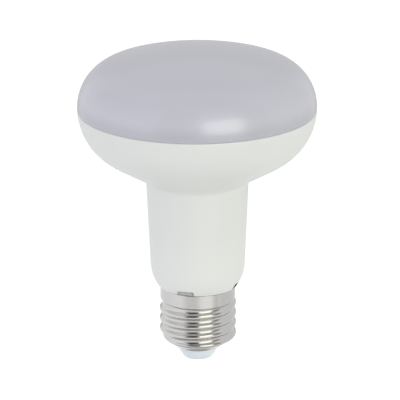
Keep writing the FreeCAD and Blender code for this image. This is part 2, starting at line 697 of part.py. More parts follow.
# Light sources: two rings of small packages on the board, in threes so that they clear the three screws
OUTER_COUNT = 15
INNER_COUNT = 9
outer_ring = "(%s - dim.outer_ring_inset)" % lamp_board_radius
packages = []
for ring, count in ((outer_ring, OUTER_COUNT), ("dim.inner_ring", INNER_COUNT)):
    for number in range(count):
        direction = 360.0 * (number + 0.5) / count
        package = doc.addObject("Part::Box", "package%02d" % len(packages))
        package.setExpression("Length", "dim.source_length")
        package.setExpression("Width", "dim.source_width")
        package.setExpression("Height", "dim.source_height")
        package.Placement = FreeCAD.Placement(
            FreeCAD.Vector(0, 0, 0), FreeCAD.Rotation(FreeCAD.Vector(0, 0, 1), direction))
        across = "(%s - dim.source_length / 2) * cos(%s) + dim.source_width / 2 * sin(%s)" % (
            ring, direction, direction)
        deep = "(%s - dim.source_length / 2) * sin(%s) - dim.source_width / 2 * cos(%s)" % (
            ring, direction, direction)
        packages.append(placed(package, across, deep, board_top))
as_node(group("led_packages_group", packages), "led_packages")

# Screws: pan heads on the lamp board, shanks down into the housing's bosses
screws = []
for number in range(3):
    direction = 120.0 * number
    where = ("dim.screw_ring * cos(%s)" % direction, "dim.screw_ring * sin(%s)" % direction)
    head = rod("head%d" % number, "dim.screw_head_radius", "dim.screw_head_height", *where, up=board_top)
    shank = rod("shank%d" % number, "dim.screw_radius", "dim.screw_length", *where,
                up=board_top + " - dim.screw_length")
    screws.append(fused("screw%d" % number, [head, shank]))
as_node(group("board_screws_group", screws), "board_screws")

# Driver board: upright in the neck's rails, its tongue down in the cap
neck_edge = "(%s - dim.board_edge_gap)" % inner_neck
tongue_edge = "(%s - dim.tongue_edge_gap)" % carrier_bore
fuse_foot = "(dim.rivet_height + dim.fuse_rise)"
fuse_top = "(%s + dim.fuse_length)" % fuse_foot
tongue_foot = "(%s + dim.tongue_gap)" % fuse_top
driver = new_body("driver_board")
driver_sketch = outline(new_sketch(driver, "driver_outline"), [
    ("-" + tongue_edge, tongue_foot),
    (tongue_edge, tongue_foot),
    (tongue_edge, shoulder),
    (neck_edge, shoulder),
    (neck_edge, shoulder + " + dim.board_length"),
    ("-" + neck_edge, shoulder + " + dim.board_length"),
    ("-" + neck_edge, shoulder),
    ("-" + tongue_edge, shoulder),
])
driver_pad = driver.newObject("PartDesign::Pad", "driver_sheet")
driver_pad.Profile = (driver_sketch, [""])
driver_pad.Midplane = True
driver_pad.setExpression("Length", "dim.board_thickness")


def board_face(side, reach):
    """Distance from the board's middle to something that stands reach off its face."""
    return "%d * (dim.board_thickness / 2 + dim.part_gap + %s)" % (side, reach)


# Plain parts on the board: a film capacitor, the rectifier, the controller and the round cans
bevel = size_of("dim.part_bevel")
for name, side, across, deep, up, place, rise in BOXES:
    part = box(name + "_body", "dim.%s_across" % name, "dim.%s_deep" % name, "dim.%s_up" % name,
               "dim.%s_place" % name, board_face(side, "dim.%s_deep / 2" % name),
               "%s + dim.%s_rise" % (shoulder, name))
    rounded = doc.addObject("Part::Chamfer", name)
    doc.recompute()
    rounded.Base = part
    edges = range(1, len(part.Shape.Edges) + 1)
    rounded.Edges = [(edge, bevel, bevel) for edge in edges]
    as_node(rounded, name)
for name, side, radius, length, place, rise in CANS:
    part = rod(name + "_can", "dim.%s_radius" % name, "dim.%s_length" % name, "dim.%s_place" % name,
               board_face(side, "dim.%s_radius" % name), "%s + dim.%s_rise" % (shoulder, name))
    as_node(part, name)

# Transformer: a core with two windows, a bobbin on its middle leg and the winding on the bobbin
core_middle = "(%s + dim.core_rise)" % shoulder
bobbin_width = "(2 * (dim.core_leg + dim.bobbin_gap + dim.bobbin_wall))"
bobbin_depth = "(dim.core_depth + 2 * (dim.bobbin_gap + dim.bobbin_wall))"
bobbin_height = "(dim.core_window_height - 2 * dim.bobbin_gap)"
flange_width = "(%s + 2 * (dim.winding_build + dim.bobbin_gap))" % bobbin_width
flange_depth = "(%s + 2 * (dim.winding_build + dim.bobbin_gap))" % bobbin_depth
core_deep = board_face(1, flange_depth + " / 2")


def on_core(name, width, depth, height, across="0", middle="0"):
    """A box centred on the transformer's middle, moved across and up by formulas."""
    return box(name, width, depth, height, "(dim.core_place + %s)" % across, core_deep,
               "%s + %s - %s / 2" % (core_middle, middle, height))


window_middle = "(dim.core_leg + dim.core_window / 2)"
core_width = "(4 * dim.core_leg + 2 * dim.core_window)"
core_blank = on_core("core_blank", core_width, "dim.core_depth",
                     "(dim.core_window_height + 2 * dim.core_leg)")
core_tools = [
    on_core("core_window_left", "dim.core_window", "2 * dim.core_depth", "dim.core_window_height",
            "-" + window_middle),
    on_core("core_window_right", "dim.core_window", "2 * dim.core_depth", "dim.core_window_height",
            window_middle),
]
as_node(cut("core", core_blank, fused("core_windows", core_tools)), "transformer_core")
leg_hole = on_core("leg_hole", "(2 * (dim.core_leg + dim.bobbin_gap))",
                   "(dim.core_depth + 2 * dim.bobbin_gap)", "(2 * dim.core_window_height)")
flange_rise = "((%s - dim.bobbin_wall) / 2)" % bobbin_height
spool = [
    on_core("spool", bobbin_width, bobbin_depth, bobbin_height),
    on_core("lower_flange", flange_width, flange_depth, "dim.bobbin_wall", middle="-" + flange_rise),
    on_core("upper_flange", flange_width, flange_depth, "dim.bobbin_wall", middle=flange_rise),
]
as_node(cut("bobbin", fused("bobbin_blank", spool), leg_hole), "transformer_bobbin")
winding_blank = on_core("winding_blank", "(%s + 2 * dim.winding_build)" % bobbin_width,
                        "(%s + 2 * dim.winding_build)" % bobbin_depth,
                        "(%s - 2 * dim.bobbin_wall)" % bobbin_height)
spool_hole = on_core("spool_hole", bobbin_width, bobbin_depth, "(2 * dim.core_window_height)")
as_node(cut("winding", winding_blank, spool_hole), "transformer_winding")

# Varistor: a disc that stands against the tongue's back
varistor = doc.addObject("Part::Cylinder", "varistor_disc")
varistor.setExpression("Radius", "dim.varistor_radius")
varistor.setExpression("Height", "dim.varistor_thickness")
varistor.Placement = FreeCAD.Placement(
    FreeCAD.Vector(0, 0, 0), FreeCAD.Rotation(FreeCAD.Vector(1, 0, 0), 90))
varistor_middle = "%s + dim.varistor_gap + dim.varistor_radius" % tongue_foot
as_node(placed(varistor, "0", board_face(-1, "0"), varistor_middle), "varistor")

# Small resistors in a row near the board's top, on its back
chips = []
for number in range(5):
    chips.append(box("chip%d" % number, "dim.chip_width", "dim.chip_height", "dim.chip_length",
                     "%d * dim.chip_spacing" % (number - 2), board_face(-1, "dim.chip_height / 2"),
                     "%s + dim.chip_rise - dim.chip_length / 2" % shoulder))
as_node(group("chip_resistors_group", chips), "chip_resistors")

# Fusible resistor: stands on the contact's rivet by its lower lead
fuse_parts = [
    rod("fuse_lead", "dim.wire_radius", "dim.fuse_rise + dim.fuse_length / 2", up="dim.rivet_height"),
    rod("fuse_body", "dim.fuse_radius", "dim.fuse_length", up=fuse_foot),
]
as_node(fused("fuse", fuse_parts), "fusible_resistor")


def lead(name, radius, corners):
    """A round lead along straight runs joined by tangent arcs."""
    points = [FreeCAD.Vector(*[size_of(formula) for formula in corner]) for corner in corners]
    bend = size_of("dim.lead_bend")
    edges = []
    last = points[0]
    for before, corner, after in zip(points, points[1:], points[2:]):
        into = (corner - before).normalize()
        out = (after - corner).normalize()
        turn = into.getAngle(out)
        setback = bend * math.tan(turn / 2)
        start = corner - into * setback
        end = corner + out * setback
        inwards = (out - into).normalize()
        middle = corner + inwards * (bend / math.cos(turn / 2) - bend)
        edges.append(Part.LineSegment(last, start).toShape())
        edges.append(Part.Arc(start, middle, end).toShape())
        last = end
    edges.append(Part.LineSegment(last, points[-1]).toShape())
    path = Part.Wire(edges)
    first = (points[1] - points[0]).normalize()
    ring = Part.Wire(Part.makeCircle(size_of(radius), points[0], first))
    thing = doc.addObject("Part::Feature", name + "_run")
    thing.Shape = path.makePipeShell([ring], True, False)
    return as_node(thing, name)


# Leads: live and neutral from the cap to the board, and a pair from the board to the light sources
front = "(dim.board_thickness / 2 + dim.lead_lift)"
neck_top = "(%s + dim.board_length)" % shoulder
live_turn = "(%s + %s) / 2" % (fuse_top, tongue_foot)
lead("live_lead", "dim.wire_radius", [
    ("0", "0", fuse_top),
    ("0", "0", live_turn + " - dim.lead_step / 2"),
    ("0", front, live_turn + " + dim.lead_step / 2"),
    ("0", front, tongue_foot + " + dim.lead_overlap"),
])
neutral_spread = "(%s - dim.neutral_inset)" % carrier_bore
neutral_height = "((dim.lip_height + dim.insulator_top + dim.carrier_foot) / 2)"
lead("neutral_lead", "dim.lead_radius", [
    ("-(%s - dim.lead_radius - dim.part_gap)" % inner_root, front, neutral_height),
    ("-" + neutral_spread, front, neutral_height),
    ("-" + neutral_spread, front, tongue_foot + " + dim.lead_overlap"),
])
for name, side in (("led_lead_positive", 1), ("led_lead_negative", -1)):
    across = "%d * dim.lead_spread" % side
    end = "%d * (dim.lead_hole + dim.lead_overlap)" % side
    over = "(%s + dim.lead_radius + dim.part_gap / 2)" % board_top
    lead(name, "dim.lead_radius", [
        (across, front, neck_top + " - dim.lead_overlap"),
        (across, front, over),
        (end, front, over),
    ])

# Every object is tested before anything is written
doc.recompute()
for thing in doc.Objects:
    if {"Invalid", "Error"} & set(thing.State):
        raise RuntimeError("%s did not build" % thing.Label)
for node in nodes:
    if node.Shape.isNull() or not node.Shape.isValid():
        raise RuntimeError("%s has no sound shape" % node.Label)
os.makedirs("parts", exist_ok=True)
for node in nodes:
    node.Shape.exportStep("parts/%s.step" % node.Label)
    print(node.Label, len(node.Shape.Solids), round(node.Shape.Volume, 1))
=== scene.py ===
# %% [markdown]
# # Reflector lamp
# The imported CAD model already holds every piece of the lamp at its real size. This file adds what CAD
# leaves out: smooth skins for the five pieces that are seen, a near-black fill of painted shade in two
# windows, a finish for every piece, the studio and the camera. It starts by loading the imported model,
# which stays as it is from here on.

# %% Load the imported model
import math

import bpy
import numpy as np
from mathutils import Matrix


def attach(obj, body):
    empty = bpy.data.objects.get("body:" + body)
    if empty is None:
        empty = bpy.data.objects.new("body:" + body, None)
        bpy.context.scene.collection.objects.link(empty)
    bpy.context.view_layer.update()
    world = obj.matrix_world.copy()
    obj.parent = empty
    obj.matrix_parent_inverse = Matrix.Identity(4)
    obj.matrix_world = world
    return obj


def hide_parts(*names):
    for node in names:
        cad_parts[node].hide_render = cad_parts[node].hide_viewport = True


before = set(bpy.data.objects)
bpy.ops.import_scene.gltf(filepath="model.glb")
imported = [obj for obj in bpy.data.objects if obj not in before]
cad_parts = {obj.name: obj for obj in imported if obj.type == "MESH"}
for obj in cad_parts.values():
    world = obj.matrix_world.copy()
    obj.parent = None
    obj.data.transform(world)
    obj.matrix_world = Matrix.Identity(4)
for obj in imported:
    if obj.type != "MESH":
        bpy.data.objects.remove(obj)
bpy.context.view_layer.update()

scene = bpy.context.scene
MM = 0.001

# %% [markdown]
# ## The camera
# The photo was taken a little from above with a long lens. The lens is given by its focal length in
# pixels of a 400 pixel wide picture, which a camera fit gave, and Blender wants it in millimetres on
# its 36 mm sensor. The eye is in metres, and pitch, yaw and roll are in degrees. The camera comes
# first, so that every piece can be judged in the photo's own frame.

# %% Camera
PICTURE, SENSOR, FOCAL_PIXELS = 400, 36.0, 2335.1
EYE = (0.0, -0.7483, 0.3090)
PITCH, YAW, ROLL = 18.63, -0.066, -0.2
NEAREST, FARTHEST = 0.05, 20.0


def put(name, data):
    """An object with this data, linked to the scene."""
    made = bpy.data.objects.new(name, data)
    scene.collection.objects.link(made)
    return made


camera = put("camera", bpy.data.cameras.new("camera"))
camera.data.sensor_width = SENSOR
camera.data.lens = FOCAL_PIXELS * SENSOR / PICTURE
camera.data.clip_start, camera.data.clip_end = NEAREST, FARTHEST
turn = (Matrix.Rotation(math.radians(YAW), 4, "Z") @ Matrix.Rotation(math.radians(90 - PITCH), 4, "X")
        @ Matrix.Rotation(math.radians(ROLL), 4, "Z"))
camera.matrix_world = Matrix.Translation(EYE) @ turn
scene.camera = camera
print("lens mm:", round(camera.data.lens, 1))

# %% [markdown]
# ## Lines in the plane of radius and height
# A lamp is turned: almost every surface is one line carried round the axis. The line is written as
# corners and arcs in millimetres. A corner may be rounded, as every real edge is, and long runs get
# points in between, so that smooth shading has something to hold on to.

# %% Arcs, rounded corners and spacing


def arc(centre, radius, start, end, step=3.0):
    """Points centre + radius * (cos t, sin t), with t from start to end in degrees."""
    t = np.radians(np.linspace(start, end, max(int(abs(end - start) / step) + 2, 3)))
    return np.column_stack([centre[0] + radius * np.cos(t), centre[1] + radius * np.sin(t)])


def rounding(before, corner, after, radius, steps=6):
    """Points of the arc that touches both sides of a corner.
    It leaves each side radius * tan(bend / 2) before the corner, bend being the turn between the sides."""
    into = (corner - before) / np.linalg.norm(corner - before)
    out = (after - corner) / np.linalg.norm(after - corner)
    bend = np.arccos(np.clip(into @ out, -1, 1))
    side = np.sign(into[0] * out[1] - into[1] * out[0])
    normal = side * np.array([-into[1], into[0]])
    centre = corner - into * radius * np.tan(bend / 2) + normal * radius
    t = np.linspace(0, bend, steps + 1)[:, None]
    return centre + radius * (np.sin(t) * into - np.cos(t) * normal)


def line(parts, loop=True, step=1.2, guard=0.12):
    """One line from arrays of points and corners (radius, height, rounding), all in millimetres. Each run
    longer than the step is divided evenly, and one longer than four guards gets one more point a guard
    away from each of its ends."""
    rows = [np.column_stack([p, np.zeros(len(p))]) if isinstance(p, np.ndarray) else np.array([p])
            for p in parts]
    rows = np.vstack(rows)
    points = []
    for number, (radius, height, soft) in enumerate(rows):
        corner = np.array([radius, height])
        after = rows[(number + 1) % len(rows), :2]
        points.append(rounding(rows[number - 1, :2], corner, after, soft) if soft else corner[None])
    points = np.vstack(points)
    ends = np.roll(points, -1, axis=0) if loop else points[1:]
    spaced = []
    for start, end in zip(points, ends):
        length = np.linalg.norm(end - start)
        share = np.linspace(0, 1, int(length / step) + 1, endpoint=False)
        if length > 4 * guard:
            share = np.unique(np.concatenate([share, [guard / length, 1 - guard / length]]))
        spaced.append(start + share[:, None] * (end - start))
    if not loop:
        spaced.append(points[-1:])
    return np.vstack(spaced)


print("points on a quarter arc:", len(arc((0.0, 0.0), 1.0, 0, 90)))

# %% [markdown]
# ## From a grid of points to a skin
# A grid has one row for each point of the line and one column for each direction round the axis. Four
# neighbours make a face. A row whose points are all one is a pole, with a fan of triangles round it.
# The sign of the enclosed volume says whether the faces point outwards. Blender's Screw modifier turns
# a line too, but a grid lets single points be moved for the windows and the thread. Each finished piece
# rides on the lamp's one body, and it may stand in for the CAD piece that it covers.

# %% Grids and skins
ROUND = 256
EVEN = np.arange(ROUND) * 2 * np.pi / ROUND
ONE_POINT = 1e-9


def carried_round(points, angles=EVEN):
    """Grid with point i, j at (r_i cos a_j, r_i sin a_j, z_i)."""
    radius, height = points[:, :1], points[:, 1:]
    return np.stack([radius * np.cos(angles), radius * np.sin(angles), height + 0 * angles], axis=-1)


def grid_faces(grid):
    """Quads (i, j), (i, j+1), (i+1, j+1), (i+1, j) of a grid, and the triangles at its poles. A grid
    without poles closes from its last row to its first. All face outwards: the volume
    sum(a . (b x c + c x d)) / 6 of the quads a b c d is above 0."""
    rows, columns = grid.shape[:2]
    number = np.arange(rows * columns).reshape(rows, columns)
    poles = np.ptp(grid, axis=1).max(axis=1) < ONE_POINT
    number[poles] = number[poles, :1]
    if not poles.any():
        number = np.vstack([number, number[:1]])
    beside = np.roll(number, -1, axis=1)
    face = np.stack([number[:-1], beside[:-1], beside[1:], number[1:]], axis=-1).reshape(-1, 4)
    a, b, c, d = (grid.reshape(-1, 3)[face[:, k]] for k in range(4))
    if (a * (np.cross(b, c) + np.cross(c, d))).sum() < 0:
        face = face[:, ::-1]
    at_start, at_end = face[:, 0] == face[:, 1], face[:, 2] == face[:, 3]
    return face[~(at_start | at_end)], np.vstack([face[at_start, 1:], face[at_end, :3]])


def skin(name, grids, material, replaced=None):
    """A piece made of one closed skin for each grid. Grids are in millimetres, the piece in metres."""
    points, quads, triangles, first = [], [], [], 0
    for grid in grids:
        four, three = grid_faces(grid)
        points.append(grid.reshape(-1, 3))
        quads.append(four + first)
        triangles.append(three + first)
        first += len(points[-1])
    points, quads, triangles = (np.vstack(part) for part in (points, quads, triangles))
    used = np.unique(np.concatenate([quads.ravel(), triangles.ravel()]))
    place = np.zeros(len(points), int)
    place[used] = np.arange(len(used))
    mesh = bpy.data.meshes.new(name)
    mesh.from_pydata(points[used] * MM, [], place[quads].tolist() + place[triangles].tolist())
    mesh.polygons.foreach_set("use_smooth", np.ones(len(mesh.polygons), bool))
    mesh.materials.append(material)
    piece = put(name, mesh)
    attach(piece, "root")
    if replaced:
        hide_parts(replaced)
    print(name, "triangles:", 2 * len(quads) + len(triangles))
    return piece


print("directions round the axis:", ROUND)

# %% [markdown]
# ## Finishes: a drift of tone
# No moulded or drawn surface is one even colour. Three small effects are used by many finishes, so each
# is a node group: a slow drift of tone, the fine grain of a mould, and the lines that drawing or turning
# leaves round a piece. They read Object coordinates, which are the lamp's own metres, so the scale of a
# pattern is its real scale, and noise has no seam as a picture would. The shaders stay in each
# material, where the export can read them. The drift comes first, with two helpers that make nodes.

# %% Tone drift
NOISE_MIDDLE = 0.5


def new_group(name, inputs, outputs):
    """An empty node group with named sockets. Inputs are (name, default), outputs (name, kind)."""
    group = bpy.data.node_groups.new(name, "ShaderNodeTree")
    for label, default in inputs:
        kind = {3: "NodeSocketVector", 4: "NodeSocketColor"}.get(
            len(default) if isinstance(default, tuple) else 1, "NodeSocketFloat")
        socket = group.interface.new_socket(label, in_out="INPUT", socket_type=kind)
        socket.default_value = default
    for label, kind in outputs:
        group.interface.new_socket(label, in_out="OUTPUT", socket_type=kind)
    return group, group.nodes.new("NodeGroupInput"), group.nodes.new("NodeGroupOutput")


def node(tree, kind, links=(), **values):
    """A node with its settings and input values. Each link is (input, output socket)."""
    made = tree.nodes.new(kind)
    for label, value in values.items():
        if label in made.bl_rna.properties:
            setattr(made, label, value)
        else:
            made.inputs[label.replace("_", " ")].default_value = value
    for entry, source in links:
        tree.links.new(source, made.inputs[entry])
    return made


def tone_drift():
    """Colour times 1 + amount * (noise - 1/2), with the given number of noise cells per metre."""
    group, given, made = new_group("tone drift", [("Colour", (0.8, 0.8, 0.8, 1.0)), ("Amount", 0.05),
                                                  ("Cells per metre", 40.0)], [("Colour", "NodeSocketColor")])
    place = node(group, "ShaderNodeTexCoord")
    noise = node(group, "ShaderNodeTexNoise", [("Vector", place.outputs["Object"]),
                                               ("Scale", given.outputs["Cells per metre"])], Detail=3.0)
    swing = node(group, "ShaderNodeMath", [(0, noise.outputs["Fac"])], operation="SUBTRACT")
    swing.inputs[1].default_value = NOISE_MIDDLE
    share = node(group, "ShaderNodeMath", [(0, swing.outputs[0]), (1, given.outputs["Amount"])],
                 operation="MULTIPLY")
    level = node(group, "ShaderNodeMath", [(0, share.outputs[0])], operation="ADD")
    level.inputs[1].default_value = 1.0
    tint = node(group, "ShaderNodeVectorMath", [("Vector", given.outputs["Colour"]),
                                                ("Scale", level.outputs[0])], operation="SCALE")
    group.links.new(tint.outputs["Vector"], made.inputs["Colour"])
    return group


DRIFT = tone_drift()
print("group:", DRIFT.name)

# %% [markdown]
# ## Finishes: the grain of a mould
# Moulds are often spark-eroded, which leaves fine pits in the steel and small grains on the plastic.
# Two noises make a height for the bump, and the coarser one also lets the gloss wander, because a real
# grain is never equally deep all over.

# %% Mould grain
COARSE_CELLS, COARSE_PARTS = 0.05, 2.0


def mould_grain():
    """Height of a mould's spark-eroded grain: fine noise over two parts of a noise twenty times as coarse,
    which also makes the gloss drift."""
    group, given, made = new_group("mould grain", [("Grains per metre", 4000.0)],
                                   [("Height", "NodeSocketFloat"), ("Gloss drift", "NodeSocketFloat")])
    place = node(group, "ShaderNodeTexCoord")
    fine = node(group, "ShaderNodeTexNoise", [("Vector", place.outputs["Object"]),
                                              ("Scale", given.outputs["Grains per metre"])], Detail=2.0)
    coarse_scale = node(group, "ShaderNodeMath", [(0, given.outputs["Grains per metre"])],
                        operation="MULTIPLY")
    coarse_scale.inputs[1].default_value = COARSE_CELLS
    coarse = node(group, "ShaderNodeTexNoise", [("Vector", place.outputs["Object"]),
                                                ("Scale", coarse_scale.outputs[0])], Detail=2.0)
    both = node(group, "ShaderNodeMath", [(0, coarse.outputs["Fac"]), (2, fine.outputs["Fac"])],
                operation="MULTIPLY_ADD")
    both.inputs[1].default_value = COARSE_PARTS
    group.links.new(both.outputs[0], made.inputs["Height"])
    group.links.new(coarse.outputs["Fac"], made.inputs["Gloss drift"])
    return group


GRAIN = mould_grain()
print("group:", GRAIN.name)

# %% [markdown]
# ## Finishes: drawn lines
# Sheet that is drawn or turned keeps faint lines round its axis. A wave of rings would be too even. A
# noise that is squeezed along the axis gives lines of uneven width and depth that fade in and out.

# %% Drawn lines
CELLS_ROUND, SLOW_CELLS = 60.0, 120.0


def drawn_lines():
    """Height of the lines that drawing leaves round a piece: noise of (60 x, 60 y, lines per metre * z),
    which changes fast with the height and slowly round the axis."""
    group, given, made = new_group("drawn lines", [("Lines per metre", 3000.0)],
                                   [("Height", "NodeSocketFloat"), ("Gloss drift", "NodeSocketFloat")])
    place = node(group, "ShaderNodeTexCoord")
    parts = node(group, "ShaderNodeSeparateXYZ", [(0, place.outputs["Object"])])
    up = node(group, "ShaderNodeMath", [(0, parts.outputs["Z"]), (1, given.outputs["Lines per metre"])],
              operation="MULTIPLY")
    vector = node(group, "ShaderNodeCombineXYZ", [("Z", up.outputs[0])])
    round_scale = node(group, "ShaderNodeVectorMath", [(0, place.outputs["Object"])], operation="MULTIPLY")
    round_scale.inputs[1].default_value = (CELLS_ROUND, CELLS_ROUND, 0.0)
    spot = node(group, "ShaderNodeVectorMath", [(0, vector.outputs[0]), (1, round_scale.outputs[0])],
                operation="ADD")
    noise = node(group, "ShaderNodeTexNoise", [("Vector", spot.outputs[0])], Scale=1.0, Detail=4.0)
    slow = node(group, "ShaderNodeTexNoise", [("Vector", place.outputs["Object"])], Scale=SLOW_CELLS,
                Detail=2.0)
    group.links.new(noise.outputs["Fac"], made.inputs["Height"])
    group.links.new(slow.outputs["Fac"], made.inputs["Gloss drift"])
    return group


LINES = drawn_lines()
print("group:", LINES.name)

# %% [markdown]
# ## Finishes: plastic and metal
# Two recipes cover most of the lamp. Moulded plastic has a drifting colour, the mould's grain as a bump
# and a roughness that wanders a little. Worked metal is the same with the drawn lines in place of the
# grain. Fixed numbers sit on the shader's own sockets, because the export reads them there. A third
# recipe paints shade and light into a finish by height: a factor below 1 is painted shade, one above 1
# painted light.

# %% Recipes
BUMP_DEPTH = 0.05


def use(tree, group, **values):
    """A node group placed in a material, with its own values."""
    placed = node(tree, "ShaderNodeGroup", node_tree=group)
    for label, value in values.items():
        placed.inputs[label.replace("_", " ")].default_value = value
    return placed


def finish(name, colour, texture, roughness, bump, drift=0.05, cells=40.0, swing=0.1, fixed=()):
    """A material: colour through the drift, roughness +- swing / 2, and a bump from the texture group."""
    material = bpy.data.materials.new(name)
    material.use_nodes = True
    tree = material.node_tree
    shader = tree.nodes["Principled BSDF"]
    for label, value in dict(fixed).items():
        shader.inputs[label].default_value = value
    tone = use(tree, DRIFT, Colour=(*colour, 1.0), Amount=drift, Cells_per_metre=cells)
    tree.links.new(tone.outputs["Colour"], shader.inputs["Base Color"])
    pattern = texture(tree)
    spread = node(tree, "ShaderNodeMapRange", [("Value", pattern.outputs["Gloss drift"])])
    spread.inputs["To Min"].default_value = roughness - swing / 2
    spread.inputs["To Max"].default_value = roughness + swing / 2
    tree.links.new(spread.outputs["Result"], shader.inputs["Roughness"])
    relief = node(tree, "ShaderNodeBump", [("Height", pattern.outputs["Height"])], Strength=bump,
                  Distance=BUMP_DEPTH * MM)
    tree.links.new(relief.outputs["Normal"], shader.inputs["Normal"])
    return material


def painted_light_and_shade(material, shade, full, none):
    """Paints shade (a factor below 1) or light (above 1) into the colour by height: multiplies it by the
    factor from one height on and by 1 from the other on, in millimetres, and by the step 3 t^2 - 2 t^3
    between them. Either height may be the upper one."""
    tree = material.node_tree
    base = tree.nodes["Principled BSDF"].inputs["Base Color"]
    colour = base.links[0].from_socket
    place = node(tree, "ShaderNodeTexCoord")
    parts = node(tree, "ShaderNodeSeparateXYZ", [(0, place.outputs["Object"])])
    step = node(tree, "ShaderNodeMapRange", [("Value", parts.outputs["Z"])],
                interpolation_type="SMOOTHSTEP")
    step.inputs["From Min"].default_value, step.inputs["From Max"].default_value = full * MM, none * MM
    factor = node(tree, "ShaderNodeVectorMath", [(0, step.outputs["Result"])], operation="MULTIPLY_ADD")
    factor.inputs[1].default_value = [1 - part for part in shade]
    factor.inputs[2].default_value = shade
    made = node(tree, "ShaderNodeVectorMath", [(0, colour), (1, factor.outputs[0])], operation="MULTIPLY")
    tree.links.new(made.outputs[0], base)
    return material


def moulded(name, colour, roughness=0.45, bump=0.15, grains=4000.0, **rest):
    """Moulded plastic."""
    return finish(name, colour, lambda tree: use(tree, GRAIN, Grains_per_metre=grains), roughness, bump,
                  **rest)


def worked(name, colour, roughness=0.25, bump=0.1, lines=3000.0, **rest):
    """Drawn, turned or pressed metal."""
    rest.setdefault("fixed", {"Metallic": 1.0})
    return finish(name, colour, lambda tree: use(tree, LINES, Lines_per_metre=lines), roughness, bump,
                  **rest)


print("bump depth mm:", BUMP_DEPTH)

# %% [markdown]
# ## The opal cover
# The cover is one moulding in opal plastic: a shallow dome, a rounded edge and, hidden below it, a
# spigot that drops into the housing. A flattened ball would bend too sharply at its edge. So the edge is
# one arc and the dome another, so large that it starts on the axis and meets the edge on one common
# slope. The photo shows the cover evenly lavender grey, with a soft gloss, and a little darker along the
# seam, where the housing's wall stands close behind it.

# %% Opal cover
RIM_RADIUS, RIM_HEIGHT, SEAM_DROP = 40.0, 90.0, 1.1
COVER_WALL, COVER_EDGE, DOME_SLOPE, DOME_STEP = 1.3, 15.65, 16.7, 0.8
SPIGOT_OUTSIDE, SPIGOT_INSIDE, SPIGOT_DEPTH = 38.01, 36.71, 3.0
SEAM = RIM_HEIGHT - SEAM_DROP
SEAM_ROUNDING, SPIGOT_ROUNDING = 0.35, 0.3
# Painted shade along the seam: its colour factor, and the heights where it is full and where it ends.
PAINTED_SEAM_SHADE, PAINTED_SEAM_SHADE_HEIGHTS = (0.86, 0.858, 0.847), (RIM_HEIGHT - 0.5, RIM_HEIGHT + 5)


def cover_line():
    """Dome, edge, seam and spigot outside, then the same back inside, wall closer."""
    axis = RIM_RADIUS - COVER_EDGE
    slope = math.radians(DOME_SLOPE)
    dome = (axis + COVER_EDGE * math.sin(slope)) / math.sin(slope)
    centre = RIM_HEIGHT + (COVER_EDGE - dome) * math.cos(slope)
    inner_edge = COVER_EDGE - COVER_WALL
    seam_angle = -math.degrees(math.asin(SEAM_DROP / COVER_EDGE))
    ring_angle = math.degrees(math.asin((COVER_WALL - SEAM_DROP) / inner_edge))
    edge = arc((axis, RIM_HEIGHT), COVER_EDGE, 90 - DOME_SLOPE, seam_angle)
    return line([
        arc((0, centre), dome, 90, 90 - DOME_SLOPE, DOME_STEP)[:-1],
        edge[:-1],
        (*edge[-1], SEAM_ROUNDING),
        (SPIGOT_OUTSIDE, SEAM, 0),
        (SPIGOT_OUTSIDE, SEAM - SPIGOT_DEPTH, SPIGOT_ROUNDING),
        (SPIGOT_INSIDE, SEAM - SPIGOT_DEPTH, SPIGOT_ROUNDING),
        (SPIGOT_INSIDE, SEAM + COVER_WALL, 0),
        arc((axis, RIM_HEIGHT), inner_edge, ring_angle, 90 - DOME_SLOPE)[:-1],
        arc((0, centre), dome - COVER_WALL, 90 - DOME_SLOPE, 90, DOME_STEP),
    ], loop=False)


opal = moulded("opal plastic", (0.584, 0.586, 0.63), roughness=0.22, bump=0.03, grains=2500.0,
               drift=0.02, cells=18.0, swing=0.04)
# Painted shade: the opal's colour is darkened along the seam.
painted_light_and_shade(opal, PAINTED_SEAM_SHADE, *PAINTED_SEAM_SHADE_HEIGHTS)
cover_points = cover_line()
cover_points[[0, -1], 0] = 0.0
skin("opal_cover", [carried_round(cover_points)], opal, "diffuser")

# %% [markdown]
# ## The housing
# One white moulding makes the foot, the long neck, the cone and the flared head. The outside is four
# runs that touch: the foot's arc, the leaning neck, a small fillet into the cone, and the flare's arc.
# The inside is the same line moved in by the wall.

# %% The housing's line
WALL = 1.5
FOOT_HEIGHT, FOOT_RADIUS, FOOT_BORE = 27.0, 13.55, 12.1
NECK_RADIUS, CURVE_TOP = 16.1, 35.2
NECK_LEAN, CONE_ANGLE, NECK_FILLET = 2.4, 59.35, 2.6
FLARE_RADIUS, FLARE_MIDDLE = 20.2, RIM_HEIGHT - 0.4
FOOT_CURVE = ((NECK_RADIUS - FOOT_RADIUS) ** 2 + (CURVE_TOP - FOOT_HEIGHT) ** 2) / (
    2 * (NECK_RADIUS - FOOT_RADIUS))
FOOT_AXIS = NECK_RADIUS - FOOT_CURVE
FLARE_AXIS = RIM_RADIUS - FLARE_RADIUS
RIM_ROUNDING, FOOT_ROUNDING, BORE_ROUNDING = 0.42, 0.3, 0.2


